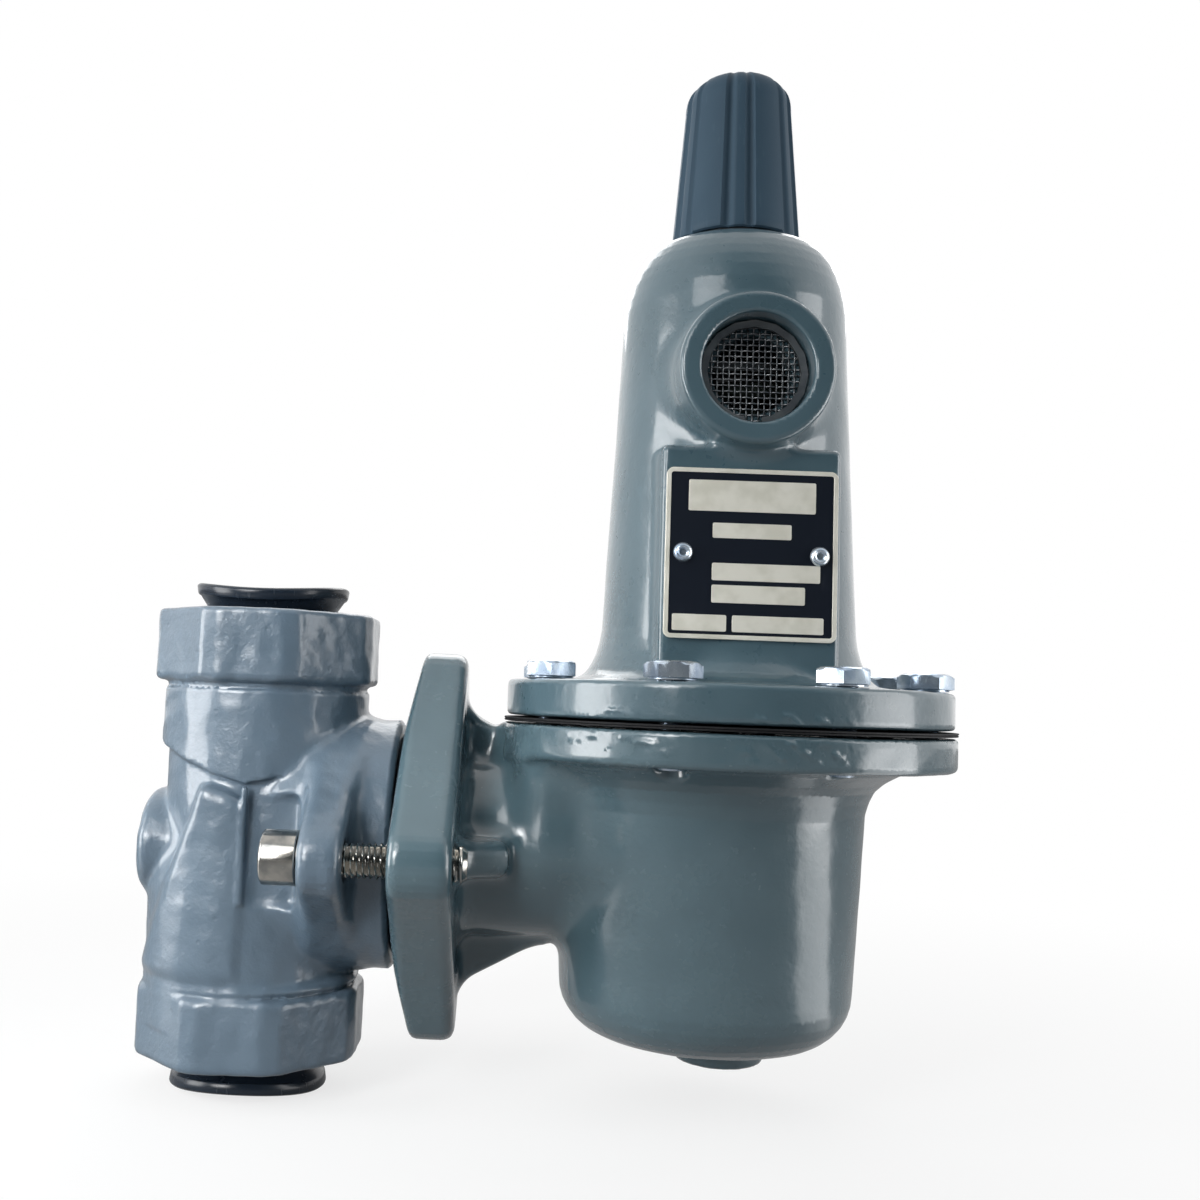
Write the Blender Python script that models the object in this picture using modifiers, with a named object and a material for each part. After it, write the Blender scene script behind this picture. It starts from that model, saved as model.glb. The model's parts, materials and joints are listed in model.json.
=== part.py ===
# Spring-loaded pressure regulator with a globe body, an angle casing and a fluted cap.
# Metres, +Z up along the spring. The origin is the centre of the lower port's face.
import bpy
import bmesh
from math import asin, atan2, cos, pi, sin, sqrt
from mathutils import Vector

# Fits
clearance = 0.0003
seat_gap = 0.0002

# Layout
body_length = 0.105
neck_height = 0.0501
stem_drop = 0.0306
flange_gap = 0.0092

# Valve body
hub_flats = 0.0514
hub_corners = 0.0542
upper_hub_height = 0.019
lower_hub_height = 0.0173
hub_shoulder = 0.003
hub_chamfer = 0.0012
barrel_diameter = 0.0492
bulge_diameter = 0.0484
bulge_offset = 0.0028
bulge_top = 0.022
port_bore = 0.0312
port_depth = 0.017
inlet_passage = 0.02
inlet_passage_x = -0.0115
inlet_passage_top = 0.011
outlet_passage = 0.022
outlet_passage_x = 0.0095
chamber_diameter = 0.04
web_left = -0.0015
web_thickness = 0.006
body_neck_diameter = 0.0592
body_neck_face = 0.0343
ear_left = 0.016
ear_thickness = 0.0097
ear_middle_radius = 0.0285
ear_lobe_radius = 0.0088
body_screw_offset = 0.037

# Body screws
body_screw_diameter = 0.0079
body_screw_length = 0.0365
body_screw_head_diameter = 0.0119
body_screw_head_height = 0.0079
body_screw_socket = 0.00635
body_screw_socket_depth = 0.0042

# Shipping plugs
plug_flange_diameter = 0.0372
plug_flange_thickness = 0.0033
plug_stand = 0.0034
inlet_plug_lift = 0.0012
plug_neck_diameter = 0.0318
plug_skirt_diameter = 0.0302
plug_skirt_depth = 0.011
plug_wall = 0.0016

# Casing that the body bolts to
body_gap = 0.0006
casing_flange_thickness = 0.0143
casing_lobe_radius = 0.0093
lobe_draft = 0.0038
lobe_draft_start = 0.0265
casing_waist = 0.0336
casing_neck_diameter = 0.042
casing_neck_bore = 0.032
guide_recess_diameter = 0.048
guide_recess_depth = 0.0042
gusset_thickness = 0.0082
gusset_height = 0.0334
gusset_foot = 0.022
gusset_length = 0.020
side_gusset_length = 0.0115
side_gusset_foot = 0.0265
housing_half_width = 0.0238
housing_end = 0.0502
housing_wall = 0.0042
housing_corner = 0.008
housing_drop = 0.006
flange_diameter = 0.108
lower_flange_thickness = 0.008
flange_edge = 0.0012
bowl_offset = 0.0039
bowl_margin = 0.0168
bowl_taper = 0.0031
bowl_depth = 0.0727
bowl_fillet = 0.012
bowl_wall = 0.0038
flare_margin = 0.0085
flare_depth = 0.011
casing_mouth_margin = 0.015
casing_mouth_depth = 0.007
bottom_boss_diameter = 0.021
bottom_boss_height = 0.006

# Spring case
case_flange_step = 0.0006
case_flange_thickness = 0.0089
case_foot_margin = 0.0154
case_low_radius = 0.0306
case_high_radius = 0.0274
case_flare_height = 0.0085
case_shoulder_height = 0.0975
case_height = 0.1182
case_top_radius = 0.017
case_wall = 0.0038
case_roof = 0.0095
cap_neck_radius = 0.012
cap_neck_height = 0.0105
pad_half_width = 0.0202
pad_top = 0.0625
pad_rise = 0.0006
pad_edge = 0.0022
vent_height = 0.0795
vent_boss_radius = 0.0172
vent_face = 0.0372
vent_bore = 0.025
vent_bore_depth = 0.0082
vent_passage = 0.018

# Casing screws
casing_screw_count = 8
casing_screw_margin = 0.0071
casing_screw_diameter = 0.00635
casing_screw_length = 0.01905
casing_screw_flats = 0.0111
casing_screw_head = 0.004

# Diaphragm group
diaphragm_thickness = 0.0009
diaphragm_plate_diameter = 0.055
convolution_height = 0.0044
head_diameter = 0.052
head_thickness = 0.0016
head_rim = 0.0036
post_diameter = 0.009
post_flange_diameter = 0.019
post_flange_thickness = 0.0026
diaphragm_screw_diameter = 0.006
diaphragm_screw_flats = 0.010
diaphragm_screw_head = 0.004
diaphragm_screw_length = 0.014

# Lever and stem
lever_long_arm = 0.0244
lever_short_arm = 0.0141
lever_thickness = 0.004
lever_hub_radius = 0.0042
lever_tip_radius = 0.003
lever_arm_half = 0.0017
lever_pin_diameter = 0.004
drive_pin_diameter = 0.003
stem_diameter = 0.008
clevis_diameter = 0.012
clevis_length = 0.016
retainer_plate = 0.0027
retainer_half_width = 0.0105
retainer_ear = 0.0025
lever_screw_diameter = 0.004
lever_screw_head_diameter = 0.007
lever_screw_head = 0.003
lever_screw_length = 0.0062
retainer_reach = 0.0074
retainer_drop = 0.0162

# Trim in the body
orifice_thread = 0.0158
orifice_bore = 0.0127
orifice_flats = 0.0205
orifice_hex = 0.0045
orifice_lip = 0.0022
disc_diameter = 0.0178
disc_thickness = 0.003
disc_proud = 0.0006
holder_diameter = 0.022
holder_length = 0.012
valve_opening = 0.0036
guide_flange_thickness = 0.0036
guide_end_gap = 0.0115
guide_nose = 0.003
body_seal_diameter = 0.0508
body_seal_section = 0.003
stem_seal_section = 0.002

# Spring and its adjustment
spring_wire = 0.0046
spring_mean_diameter = 0.034
spring_turns = 7
seat_diameter = 0.042
seat_thickness = 0.002
seat_collar_height = 0.004
spring_length = 0.078
adjusting_screw_diameter = 0.0095
adjusting_screw_length = 0.058
adjusting_slot_width = 0.0016
adjusting_slot_depth = 0.003
locknut_flats = 0.0143
locknut_height = 0.0055

# Closing cap
cap_height = 0.0436
cap_base_radius = 0.0159
cap_top_radius = 0.0132
cap_shoulder = 0.0044
cap_crown = 0.0019
cap_wall = 0.0024
cap_roof = 0.003
cap_thread_depth = 0.0095
cap_flutes = 6
cap_groove_radius = 0.0017
cap_groove_depth = 0.0008
cap_rib_angle = 0.19
cap_gasket_thickness = 0.001

# Nameplate
plate_width = 0.0383
plate_height = 0.0383
plate_thickness = 0.0008
plate_corner = 0.0016
plate_bottom = 0.0188
rivet_spacing = 0.0304
rivet_head_diameter = 0.0045
rivet_head_height = 0.0011
rivet_shank = 0.002
rivet_length = 0.004

# Facets
round_steps = 32
small_steps = 16
tiny_steps = 10

# Levels that several pieces share
gasket_height = neck_height + stem_drop
case_base = gasket_height + 2 * seat_gap + diaphragm_thickness
case_seat = case_base + case_flange_thickness
case_top = case_base + case_height
neck_top = case_top + cap_neck_height
pad_face = case_low_radius + pad_rise
casing_face = body_neck_face + body_gap
casing_back = casing_face + casing_flange_thickness
casing_reach = casing_back + flange_gap + flange_diameter / 2
case_flange_diameter = flange_diameter - 2 * case_flange_step
casing_screw_circle = flange_diameter - 2 * casing_screw_margin
case_foot_radius = flange_diameter / 2 - case_foot_margin
flare_radius = flange_diameter / 2 - flare_margin
casing_mouth_diameter = flange_diameter - 2 * casing_mouth_margin
bowl_top_radius = flange_diameter / 2 - bowl_margin
bowl_bottom_radius = bowl_top_radius - bowl_taper
bowl_axis = casing_reach - bowl_offset
ear_right = ear_left + ear_thickness
web_right = web_left + web_thickness
orifice_tip = web_right + clearance + orifice_hex + orifice_lip
disc_face = orifice_tip + valve_opening
pivot_x = casing_reach - lever_long_arm
pivot_z = neck_height - lever_short_arm
head_base = gasket_height + seat_gap + diaphragm_thickness + clearance
seat_base = head_base + head_thickness + clearance
spring_base = seat_base + seat_thickness + clearance
spring_top = spring_base + spring_length
upper_seat_base = spring_top + clearance
screw_base = upper_seat_base + seat_thickness + clearance


for old in list(bpy.data.objects):
    bpy.data.objects.remove(old, do_unlink=True)

regulator = bpy.data.collections.new("pressure_regulator")
cutters = bpy.data.collections.new("cutters")
bpy.context.scene.collection.children.link(regulator)
bpy.context.scene.collection.children.link(cutters)


def material(name, colour, roughness, metallic):
    made = bpy.data.materials.new(name)
    made.use_nodes = True
    shader = made.node_tree.nodes["Principled BSDF"]
    shader.inputs["Base Color"].default_value = (*colour, 1.0)
    shader.inputs["Roughness"].default_value = roughness
    shader.inputs["Metallic"].default_value = metallic
    made.diffuse_color = (*colour, 1.0)
    return made


enamel = material("blue_grey_enamel", (0.155, 0.215, 0.24), 0.22, 0.0)
slate_plastic = material("slate_plastic", (0.055, 0.085, 0.12), 0.4, 0.0)
plug_plastic = material("charcoal_plastic", (0.018, 0.022, 0.035), 0.35, 0.0)
zinc = material("bright_zinc", (0.72, 0.76, 0.80), 0.25, 1.0)
nickel = material("nickel_steel", (0.55, 0.53, 0.49), 0.3, 1.0)
aluminium = material("turned_aluminium", (0.75, 0.76, 0.77), 0.35, 1.0)
steel = material("plain_steel", (0.42, 0.43, 0.45), 0.4, 1.0)
spring_paint = material("spring_steel", (0.30, 0.31, 0.33), 0.45, 0.8)
fabric_rubber = material("fabric_rubber", (0.012, 0.012, 0.014), 0.75, 0.0)
nitrile = material("nitrile", (0.015, 0.015, 0.017), 0.55, 0.0)
plate_metal = material("nameplate_metal", (0.70, 0.69, 0.64), 0.35, 0.9)


def place(obj, collection, paint=None, where=(0, 0, 0), turn=(0, 0, 0)):
    collection.objects.link(obj)
    obj.location = where
    obj.rotation_euler = turn
    if paint:
        obj.data.materials.append(paint)
    return obj


def along_x():
    """Turns a shape's own +Z to +X."""
    return (0, pi / 2, 0)


def to_front():
    """Turns a shape's own +Z to -Y."""
    return (pi / 2, 0, 0)


def across_x():
    """Turns an outline's plane to face +X, its own x along +Y and its y along +Z."""
    return (pi / 2, 0, pi / 2)


def turned(name, profile, steps, paint=None, where=(0, 0, 0), turn=(0, 0, 0), ring=False):
    """A solid of revolution. The profile runs down the outer side, top to bottom."""
    mesh = bpy.data.meshes.new(name)
    count = len(profile)
    links = [(i, i + 1) for i in range(count - 1)]
    if ring:
        links.append((count - 1, 0))
    mesh.from_pydata([(r, 0, h) for r, h in profile], links, [])
    obj = bpy.data.objects.new(name, mesh)
    place(obj, regulator if paint else cutters, paint, where, turn)
    screw = obj.modifiers.new("revolve", "SCREW")
    screw.axis = "Z"
    screw.angle = 2 * pi
    screw.steps = steps
    screw.render_steps = steps
    screw.use_merge_vertices = True
    screw.merge_threshold = 0.00001
    return obj


def plate(name, outline, thickness, paint=None, where=(0, 0, 0), turn=(0, 0, 0)):
    """A flat outline with its thickness centred on its own plane."""
    curve = bpy.data.curves.new(name + "_outline", "CURVE")
    curve.dimensions = "2D"
    curve.fill_mode = "BOTH"
    curve.extrude = thickness / 2
    line = curve.splines.new("POLY")
    line.points.add(len(outline) - 1)
    for point, (x, y) in zip(line.points, outline):
        point.co = (x, y, 0, 1)
    line.use_cyclic_u = True
    guide = bpy.data.objects.new(name + "_outline", curve)
    cutters.objects.link(guide)
    mesh = solid_mesh(guide, name)
    obj = bpy.data.objects.new(name, mesh)
    return place(obj, regulator if paint else cutters, paint, where, turn)


def solid_mesh(guide, name):
    """A welded mesh of a curve object, which is then removed."""
    bpy.context.view_layer.update()
    graph = bpy.context.evaluated_depsgraph_get()
    mesh = bpy.data.meshes.new_from_object(guide.evaluated_get(graph))
    mesh.name = name
    work = bmesh.new()
    work.from_mesh(mesh)
    bmesh.ops.remove_doubles(work, verts=work.verts, dist=0.00001)
    bmesh.ops.recalc_face_normals(work, faces=work.faces)
    work.to_mesh(mesh)
    work.free()
    bpy.data.objects.remove(guide, do_unlink=True)
    return mesh


def box(name, low, high, paint=None):
    work = bmesh.new()
    bmesh.ops.create_cube(work, size=1)
    size = [b - a for a, b in zip(low, high)]
    bmesh.ops.scale(work, vec=size, verts=work.verts)
    mesh = bpy.data.meshes.new(name)
    work.to_mesh(mesh)
    work.free()
    obj = bpy.data.objects.new(name, mesh)
    middle = [(a + b) / 2 for a, b in zip(low, high)]
    return place(obj, regulator if paint else cutters, paint, middle)


def cylinder(name, radius, low, high, steps, where=(0, 0, 0), turn=(0, 0, 0), paint=None, spin=0.04):
    """A cylinder or prism from height low to high on its own axis, its corners at the radius."""
    work = bmesh.new()
    bmesh.ops.create_cone(
        work,
        cap_ends=True,
        segments=steps,
        radius1=radius,
        radius2=radius,
        depth=high - low,
    )
    for vertex in work.verts:
        x, y, z = vertex.co
        vertex.co = (
            x * cos(spin) - y * sin(spin),
            x * sin(spin) + y * cos(spin),
            z + (low + high) / 2,
        )
    mesh = bpy.data.meshes.new(name)
    work.to_mesh(mesh)
    work.free()
    obj = bpy.data.objects.new(name, mesh)
    return place(obj, regulator if paint else cutters, paint, where, turn)


def combine(target, other, operation):
    """Joins, cuts or keeps the common part with another solid, which becomes a hidden guide."""
    step = target.modifiers.new(operation.lower() + "_" + other.name, "BOOLEAN")
    step.operation = operation
    step.solver = "EXACT"
    step.object = other
    other.display_type = "WIRE"
    other.hide_render = True
    return target


def add(target, *others):
    for other in others:
        combine(target, other, "UNION")
    return target


def cut(target, *others):
    for other in others:
        combine(target, other, "DIFFERENCE")
    return target


def soften(obj, width, segments=2, angle=0.9):
    """Rounds the edges sharper than the angle."""
    edge = obj.modifiers.new("round_edges", "BEVEL")
    edge.width = width
    edge.segments = segments
    edge.limit_method = "ANGLE"
    edge.angle_limit = angle
    return obj


def arc(x, y, radius, start, end, count):
    """Points on an arc, both ends included."""
    return [
        (
            x + radius * cos(start + (end - start) * i / count),
            y + radius * sin(start + (end - start) * i / count),
        )
        for i in range(count + 1)
    ]


def corner_radius(flats, sides):
    return flats / 2 / cos(pi / sides)


def ring_bar(name, diameter, section, steps, paint, where):
    """A ring of round section, such as an O-ring, around the stem's axis."""
    profile = arc(diameter / 2, 0, section / 2, pi / 2, -3 * pi / 2, 6)[:-1]
    return turned(name, profile, steps, paint, where, along_x(), ring=True)


def hub(name, low, high, outward):
    """An octagonal wrench hub with rounded corners and a sloped shoulder to the barrel."""
    radius = hub_corners / 2
    barrel = barrel_diameter / 2 - clearance
    if outward > 0:
        profile = [
            (0, high),
            (radius - hub_chamfer, high),
            (radius, high - hub_chamfer),
            (radius, low + hub_shoulder),
            (barrel, low),
            (0, low),
        ]
    else:
        profile = [
            (0, high),
            (barrel, high),
            (radius, high - hub_shoulder),
            (radius, low + hub_chamfer),
            (radius - hub_chamfer, low),
            (0, low),
        ]
    made = turned(name, profile, round_steps)
    flats = cylinder(
        name + "_flats",
        corner_radius(hub_flats, 8),
        low - hub_shoulder,
        high + hub_shoulder,
        8,
        spin=pi / 8,
    )
    return combine(made, flats, "INTERSECT")


def ear_outline():
    """An oval plate: a round middle with a lobe at each side."""
    slope = atan2(
        sqrt(body_screw_offset**2 - (ear_middle_radius - ear_lobe_radius) ** 2),
        ear_middle_radius - ear_lobe_radius,
    )
    side = arc(body_screw_offset, 0, ear_lobe_radius, -slope, slope, 8)
    top = arc(0, 0, ear_middle_radius, slope, pi - slope, 8)
    other = arc(-body_screw_offset, 0, ear_lobe_radius, pi - slope, pi + slope, 8)
    bottom = arc(0, 0, ear_middle_radius, pi + slope, 2 * pi - slope, 8)
    return side + top + other + bottom


def make_body():
    barrel = barrel_diameter / 2
    body = turned(
        "valve_body",
        [
            (0, body_length - upper_hub_height / 2),
            (barrel, body_length - upper_hub_height / 2),
            (barrel, lower_hub_height / 2),
            (0, lower_hub_height / 2),
        ],
        round_steps,
        enamel,
    )
    upper_hub = hub("upper_hub", body_length - upper_hub_height, body_length, 1)
    lower_hub = hub("lower_hub", 0, lower_hub_height, -1)
    bulge = bulge_diameter / 2
    dome = arc(0, neck_height, bulge, pi / 2, 0, 5)
    passage = turned(
        "passage_bulge",
        dome + [(bulge, lower_hub_height), (0, lower_hub_height)],
        round_steps,
        where=(-bulge_offset, -bulge_offset / 2, bulge_top - bulge),
        turn=(0, 0, pi / round_steps),
    )
    neck = body_neck_diameter / 2
    root = 0.6 * neck
    branch = turned(
        "body_neck",
        [
            (0, body_neck_face),
            (neck - flange_edge, body_neck_face),
            (neck, body_neck_face - flange_edge),
            (neck, ear_left),
            (neck * 0.93, ear_left * 0.45),
            (root, -ear_left * 0.35),
            (0, -ear_left * 0.6),
        ],
        round_steps,
        where=(0, 0, neck_height),
        turn=along_x(),
    )
    ear = plate(
        "body_ear",
        ear_outline(),
        ear_thickness,
        where=(ear_left + ear_thickness / 2, 0, neck_height),
        turn=across_x(),
    )
    soften(ear, 0.0012)
    add(body, upper_hub, lower_hub, passage, branch, ear)
    cut(
        body,
        cylinder("inlet_port", port_bore / 2, -0.001, port_depth, round_steps),
        cylinder(
            "outlet_port",
            port_bore / 2,
            body_length - port_depth,
            body_length + 0.001,
            round_steps,
        ),
        cylinder(
            "inlet_way",
            inlet_passage / 2,
            port_depth - 0.002,
            neck_height + inlet_passage_top,
            small_steps,
            where=(inlet_passage_x, 0, 0),
        ),
        cylinder(
            "chamber",
            chamber_diameter / 2,
            web_right,
            body_neck_face + 0.001,
            round_steps,
            where=(0, 0, neck_height),
            turn=along_x(),
        ),
        cylinder(
            "outlet_way",
            outlet_passage / 2,
            neck_height + chamber_diameter * 0.35,
            body_length - port_depth + 0.002,
            small_steps,
            where=(outlet_passage_x, 0, 0),
        ),
        cylinder(
            "orifice_hole",
            orifice_thread / 2 + clearance,
            web_left - 0.003,
            web_right + 0.002,
            small_steps,
            where=(0, 0, neck_height),
            turn=along_x(),
        ),
    )
    for side in (-1, 1):
        cut(
            body,
            cylinder(
                "ear_hole_" + str(side),
                body_screw_diameter / 2 + clearance,
                ear_left - 0.002,
                ear_right + 0.002,
                small_steps,
                where=(0, side * body_screw_offset, neck_height),
                turn=along_x(),
            ),
        )
    groove = ring_groove("body_seal_groove", body_seal_diameter, body_seal_section)
    groove.location = (body_neck_face, 0, neck_height)
    groove.rotation_euler = along_x()
    cut(body, groove)


def ring_groove(name, diameter, section):
    """A square groove for a seal that reaches across the gap to the casing."""
    width = section / 2 + clearance
    depth = section - body_gap + 2 * clearance
    return turned(
        name,
        [
            (diameter / 2 - width, 0.001),
            (diameter / 2 + width, 0.001),
            (diameter / 2 + width, -depth),
            (diameter / 2 - width, -depth),
        ],
        round_steps,
        ring=True,
    )


def make_plugs():
    """A tapered shipping plug for each port, a thin flanged cup."""
    stand = plug_stand
    rim = plug_flange_diameter / 2
    neck = plug_neck_diameter / 2
    skirt = plug_skirt_diameter / 2
    top = stand + plug_flange_thickness
    profile = [
        (0, top - 0.0006),
        (rim - 0.003, top - 0.0006),
        (rim - 0.0006, top),
        (rim, top - 0.0006),
        (rim - 0.0008, stand),
        (neck, 0.0004),
        (skirt, -clearance),
        (skirt - 0.0006, -plug_skirt_depth),
        (skirt - 0.0006 - plug_wall, -plug_skirt_depth),
        (skirt - plug_wall, stand - 0.001),
        (0, stand - 0.001),
    ]
    turned("outlet_plug", profile, round_steps, plug_plastic, where=(0, 0, body_length))
    turned(
        "inlet_plug",
        profile,
        round_steps,
        plug_plastic,
        where=(0, 0, -inlet_plug_lift),
        turn=(pi, 0, 0),
    )


def make_body_screws():
    """Socket-head screws that draw the body and the casing together."""
    head = body_screw_head_diameter / 2
    shank = body_screw_diameter / 2
    under = ear_left - clearance
    for name, side in (("body_screw_front", -1), ("body_screw_rear", 1)):
        screw = turned(
            name,
            [
                (0, body_screw_length),
                (shank - 0.0007, body_screw_length),
                (shank, body_screw_length - 0.0007),
                (shank, 0),
                (head, 0),
                (head, -body_screw_head_height + 0.0005),
                (head - 0.0005, -body_screw_head_height),
                (0, -body_screw_head_height),
            ],
            small_steps,
            nickel,
            where=(under, side * body_screw_offset, neck_height),
            turn=along_x(),
        )
        socket = cylinder(
            name + "_socket",
            corner_radius(body_screw_socket, 6),
            -body_screw_head_height - 0.001,
            -body_screw_head_height + body_screw_socket_depth,
            6,
            spin=0.3,
            where=(under, side * body_screw_offset, neck_height),
            turn=along_x(),
        )
        cut(screw, socket)


def make_trim():
    orifice = turned(
        "orifice",
        [
            (orifice_bore / 2, orifice_tip),
            (orifice_bore / 2 + 0.0011, orifice_tip),
            (orifice_thread / 2, orifice_tip - orifice_lip),
            (orifice_thread / 2, web_left),
            (orifice_bore / 2, web_left),
        ],
        small_steps,
        aluminium,
        where=(0, 0, neck_height),
        turn=along_x(),
        ring=True,
    )
    hexagon = cylinder(
        "orifice_hexagon",
        corner_radius(orifice_flats, 6),
        web_right + clearance,
        web_right + clearance + orifice_hex,
        6,
        where=(0, 0, neck_height),
        turn=along_x(),
    )
    bore = cylinder(
        "orifice_bore",
        orifice_bore / 2 + 0.00001,
        web_left - 0.001,
        orifice_tip + 0.001,
        small_steps,
        where=(0, 0, neck_height),
        turn=along_x(),
    )
    cut(hexagon, bore)
    add(orifice, hexagon)

    disc_back = disc_face + disc_thickness
    holder_back = disc_face + holder_length
    turned(
        "valve_disc",
        [
            (0, disc_back),
            (disc_diameter / 2, disc_back),
            (disc_diameter / 2, disc_face),
            (0, disc_face),
        ],
        small_steps,
        nitrile,
        where=(0, 0, neck_height),
        turn=along_x(),
    )
    stem_end = disc_back + clearance + 0.003
    turned(
        "disc_holder",
        [
            (0, stem_end - clearance),
            (stem_diameter / 2 + clearance, stem_end - clearance),
            (stem_diameter / 2 + clearance, holder_back),
            (stem_diameter / 2 + 0.0025, holder_back),
            (stem_diameter / 2 + 0.0025, disc_back + 0.003),
            (holder_diameter / 2, disc_back + 0.003),
            (holder_diameter / 2, disc_face + disc_proud),
            (disc_diameter / 2 + clearance, disc_face + disc_proud),
            (disc_diameter / 2 + clearance, disc_back + clearance),
            (0, disc_back + clearance),
        ],
        small_steps,
        aluminium,
        where=(0, 0, neck_height),
        turn=along_x(),
    )
    clevis_right = pivot_x + clevis_length / 2
    clevis_left = pivot_x - clevis_length / 2
    stem = turned(
        "stem",
        [
            (0, clevis_right),
            (clevis_diameter / 2, clevis_right),
            (clevis_diameter / 2, clevis_left),
            (stem_diameter / 2, clevis_left - 0.0015),
            (stem_diameter / 2, stem_end),
            (0, stem_end),
        ],
        small_steps,
        aluminium,
        where=(0, 0, neck_height),
        turn=along_x(),
    )
    slot = lever_thickness / 2 + clearance
    slot_left = clevis_left + 0.0025
    cut(
        stem,
        box(
            "clevis_slot",
            (slot_left, -slot, neck_height - clevis_diameter),
            (clevis_right + 0.001, slot, neck_height + clevis_diameter),
        ),
        cylinder(
            "drive_pin_hole",
            drive_pin_diameter / 2 + clearance,
            -clevis_diameter,
            clevis_diameter,
            tiny_steps,
            where=(pivot_x, 0, neck_height),
            turn=to_front(),
        ),
    )
    cylinder(
        "drive_pin",
        drive_pin_diameter / 2,
        -clevis_diameter / 2 + 0.0005,
        clevis_diameter / 2 - 0.0005,
        tiny_steps,
        where=(pivot_x, 0, neck_height),
        turn=to_front(),
        paint=steel,
    )


def make_guide():
    """A flanged bush between body and casing, which the stem slides in."""
    bore = stem_diameter / 2 + clearance
    body = casing_neck_bore / 2 - clearance
    flange = guide_recess_diameter / 2 - clearance
    left = casing_face
    right = pivot_x - clevis_length / 2 - valve_opening - guide_end_gap
    step = left + guide_flange_thickness
    turned(
        "stem_guide",
        [
            (bore, right),
            (body - 0.004, right),
            (body, right - 0.004),
            (body, step),
            (flange, step),
            (flange, left),
            (holder_diameter / 2 + 0.0025, left),
            (holder_diameter / 2 + 0.001, left - guide_nose),
            (bore + stem_seal_section + 0.0005, left - guide_nose),
            (bore + stem_seal_section + 0.0005, left - guide_nose + stem_seal_section * 1.5),
            (bore, left - guide_nose + stem_seal_section * 1.5),
        ],
        small_steps,
        aluminium,
        where=(0, 0, neck_height),
        turn=along_x(),
        ring=True,
    )
    ring_bar(
        "stem_seal",
        stem_diameter + 2 * clearance + stem_seal_section,
        stem_seal_section,
        small_steps,
        nitrile,
        (left - guide_nose + stem_seal_section * 0.85, 0, neck_height),
    )
    ring_bar(
        "body_seal",
        body_seal_diameter,
        body_seal_section,
        round_steps,
        nitrile,
        (casing_face - clearance - body_seal_section / 2, 0, neck_height),
    )


def diamond_outline():
    """Four lobes at right angles, joined by sides that curve in a little."""
    points = []
    for quarter in range(4):
        turn = quarter * pi / 2
        x = body_screw_offset * cos(turn)
        y = body_screw_offset * sin(turn)
        lobe = arc(x, y, casing_lobe_radius, turn - pi / 4, turn + pi / 4, 6)
        points += lobe
        start = Vector(lobe[-1])
        end = Vector(
            (
                body_screw_offset * cos(turn + pi / 2) + casing_lobe_radius * cos(turn + pi / 4),
                body_screw_offset * sin(turn + pi / 2) + casing_lobe_radius * sin(turn + pi / 4),
            )
        )
        waist = Vector((cos(turn + pi / 4), sin(turn + pi / 4))) * casing_waist
        control = 2 * waist - (start + end) / 2
        for i in (1, 2, 3):
            t = i / 4
            point = (1 - t) ** 2 * start + 2 * t * (1 - t) * control + t**2 * end
            points.append((point.x, point.y))
    return points


def bolt_angle(index):
    return (index + 0.5) * 2 * pi / casing_screw_count


def bolt_place(index, height):
    radius = casing_screw_circle / 2
    angle = bolt_angle(index)
    return (casing_reach + radius * cos(angle), radius * sin(angle), height)


def cut_bolt_holes(target, label, low, high):
    radius = casing_screw_diameter / 2 + clearance
    for index in range(casing_screw_count):
        hole = cylinder(
            label + "_hole_" + str(index + 1),
            radius,
            low - 0.001,
            high + 0.001,
            tiny_steps,
            where=bolt_place(index, 0),
        )
        cut(target, hole)


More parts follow.
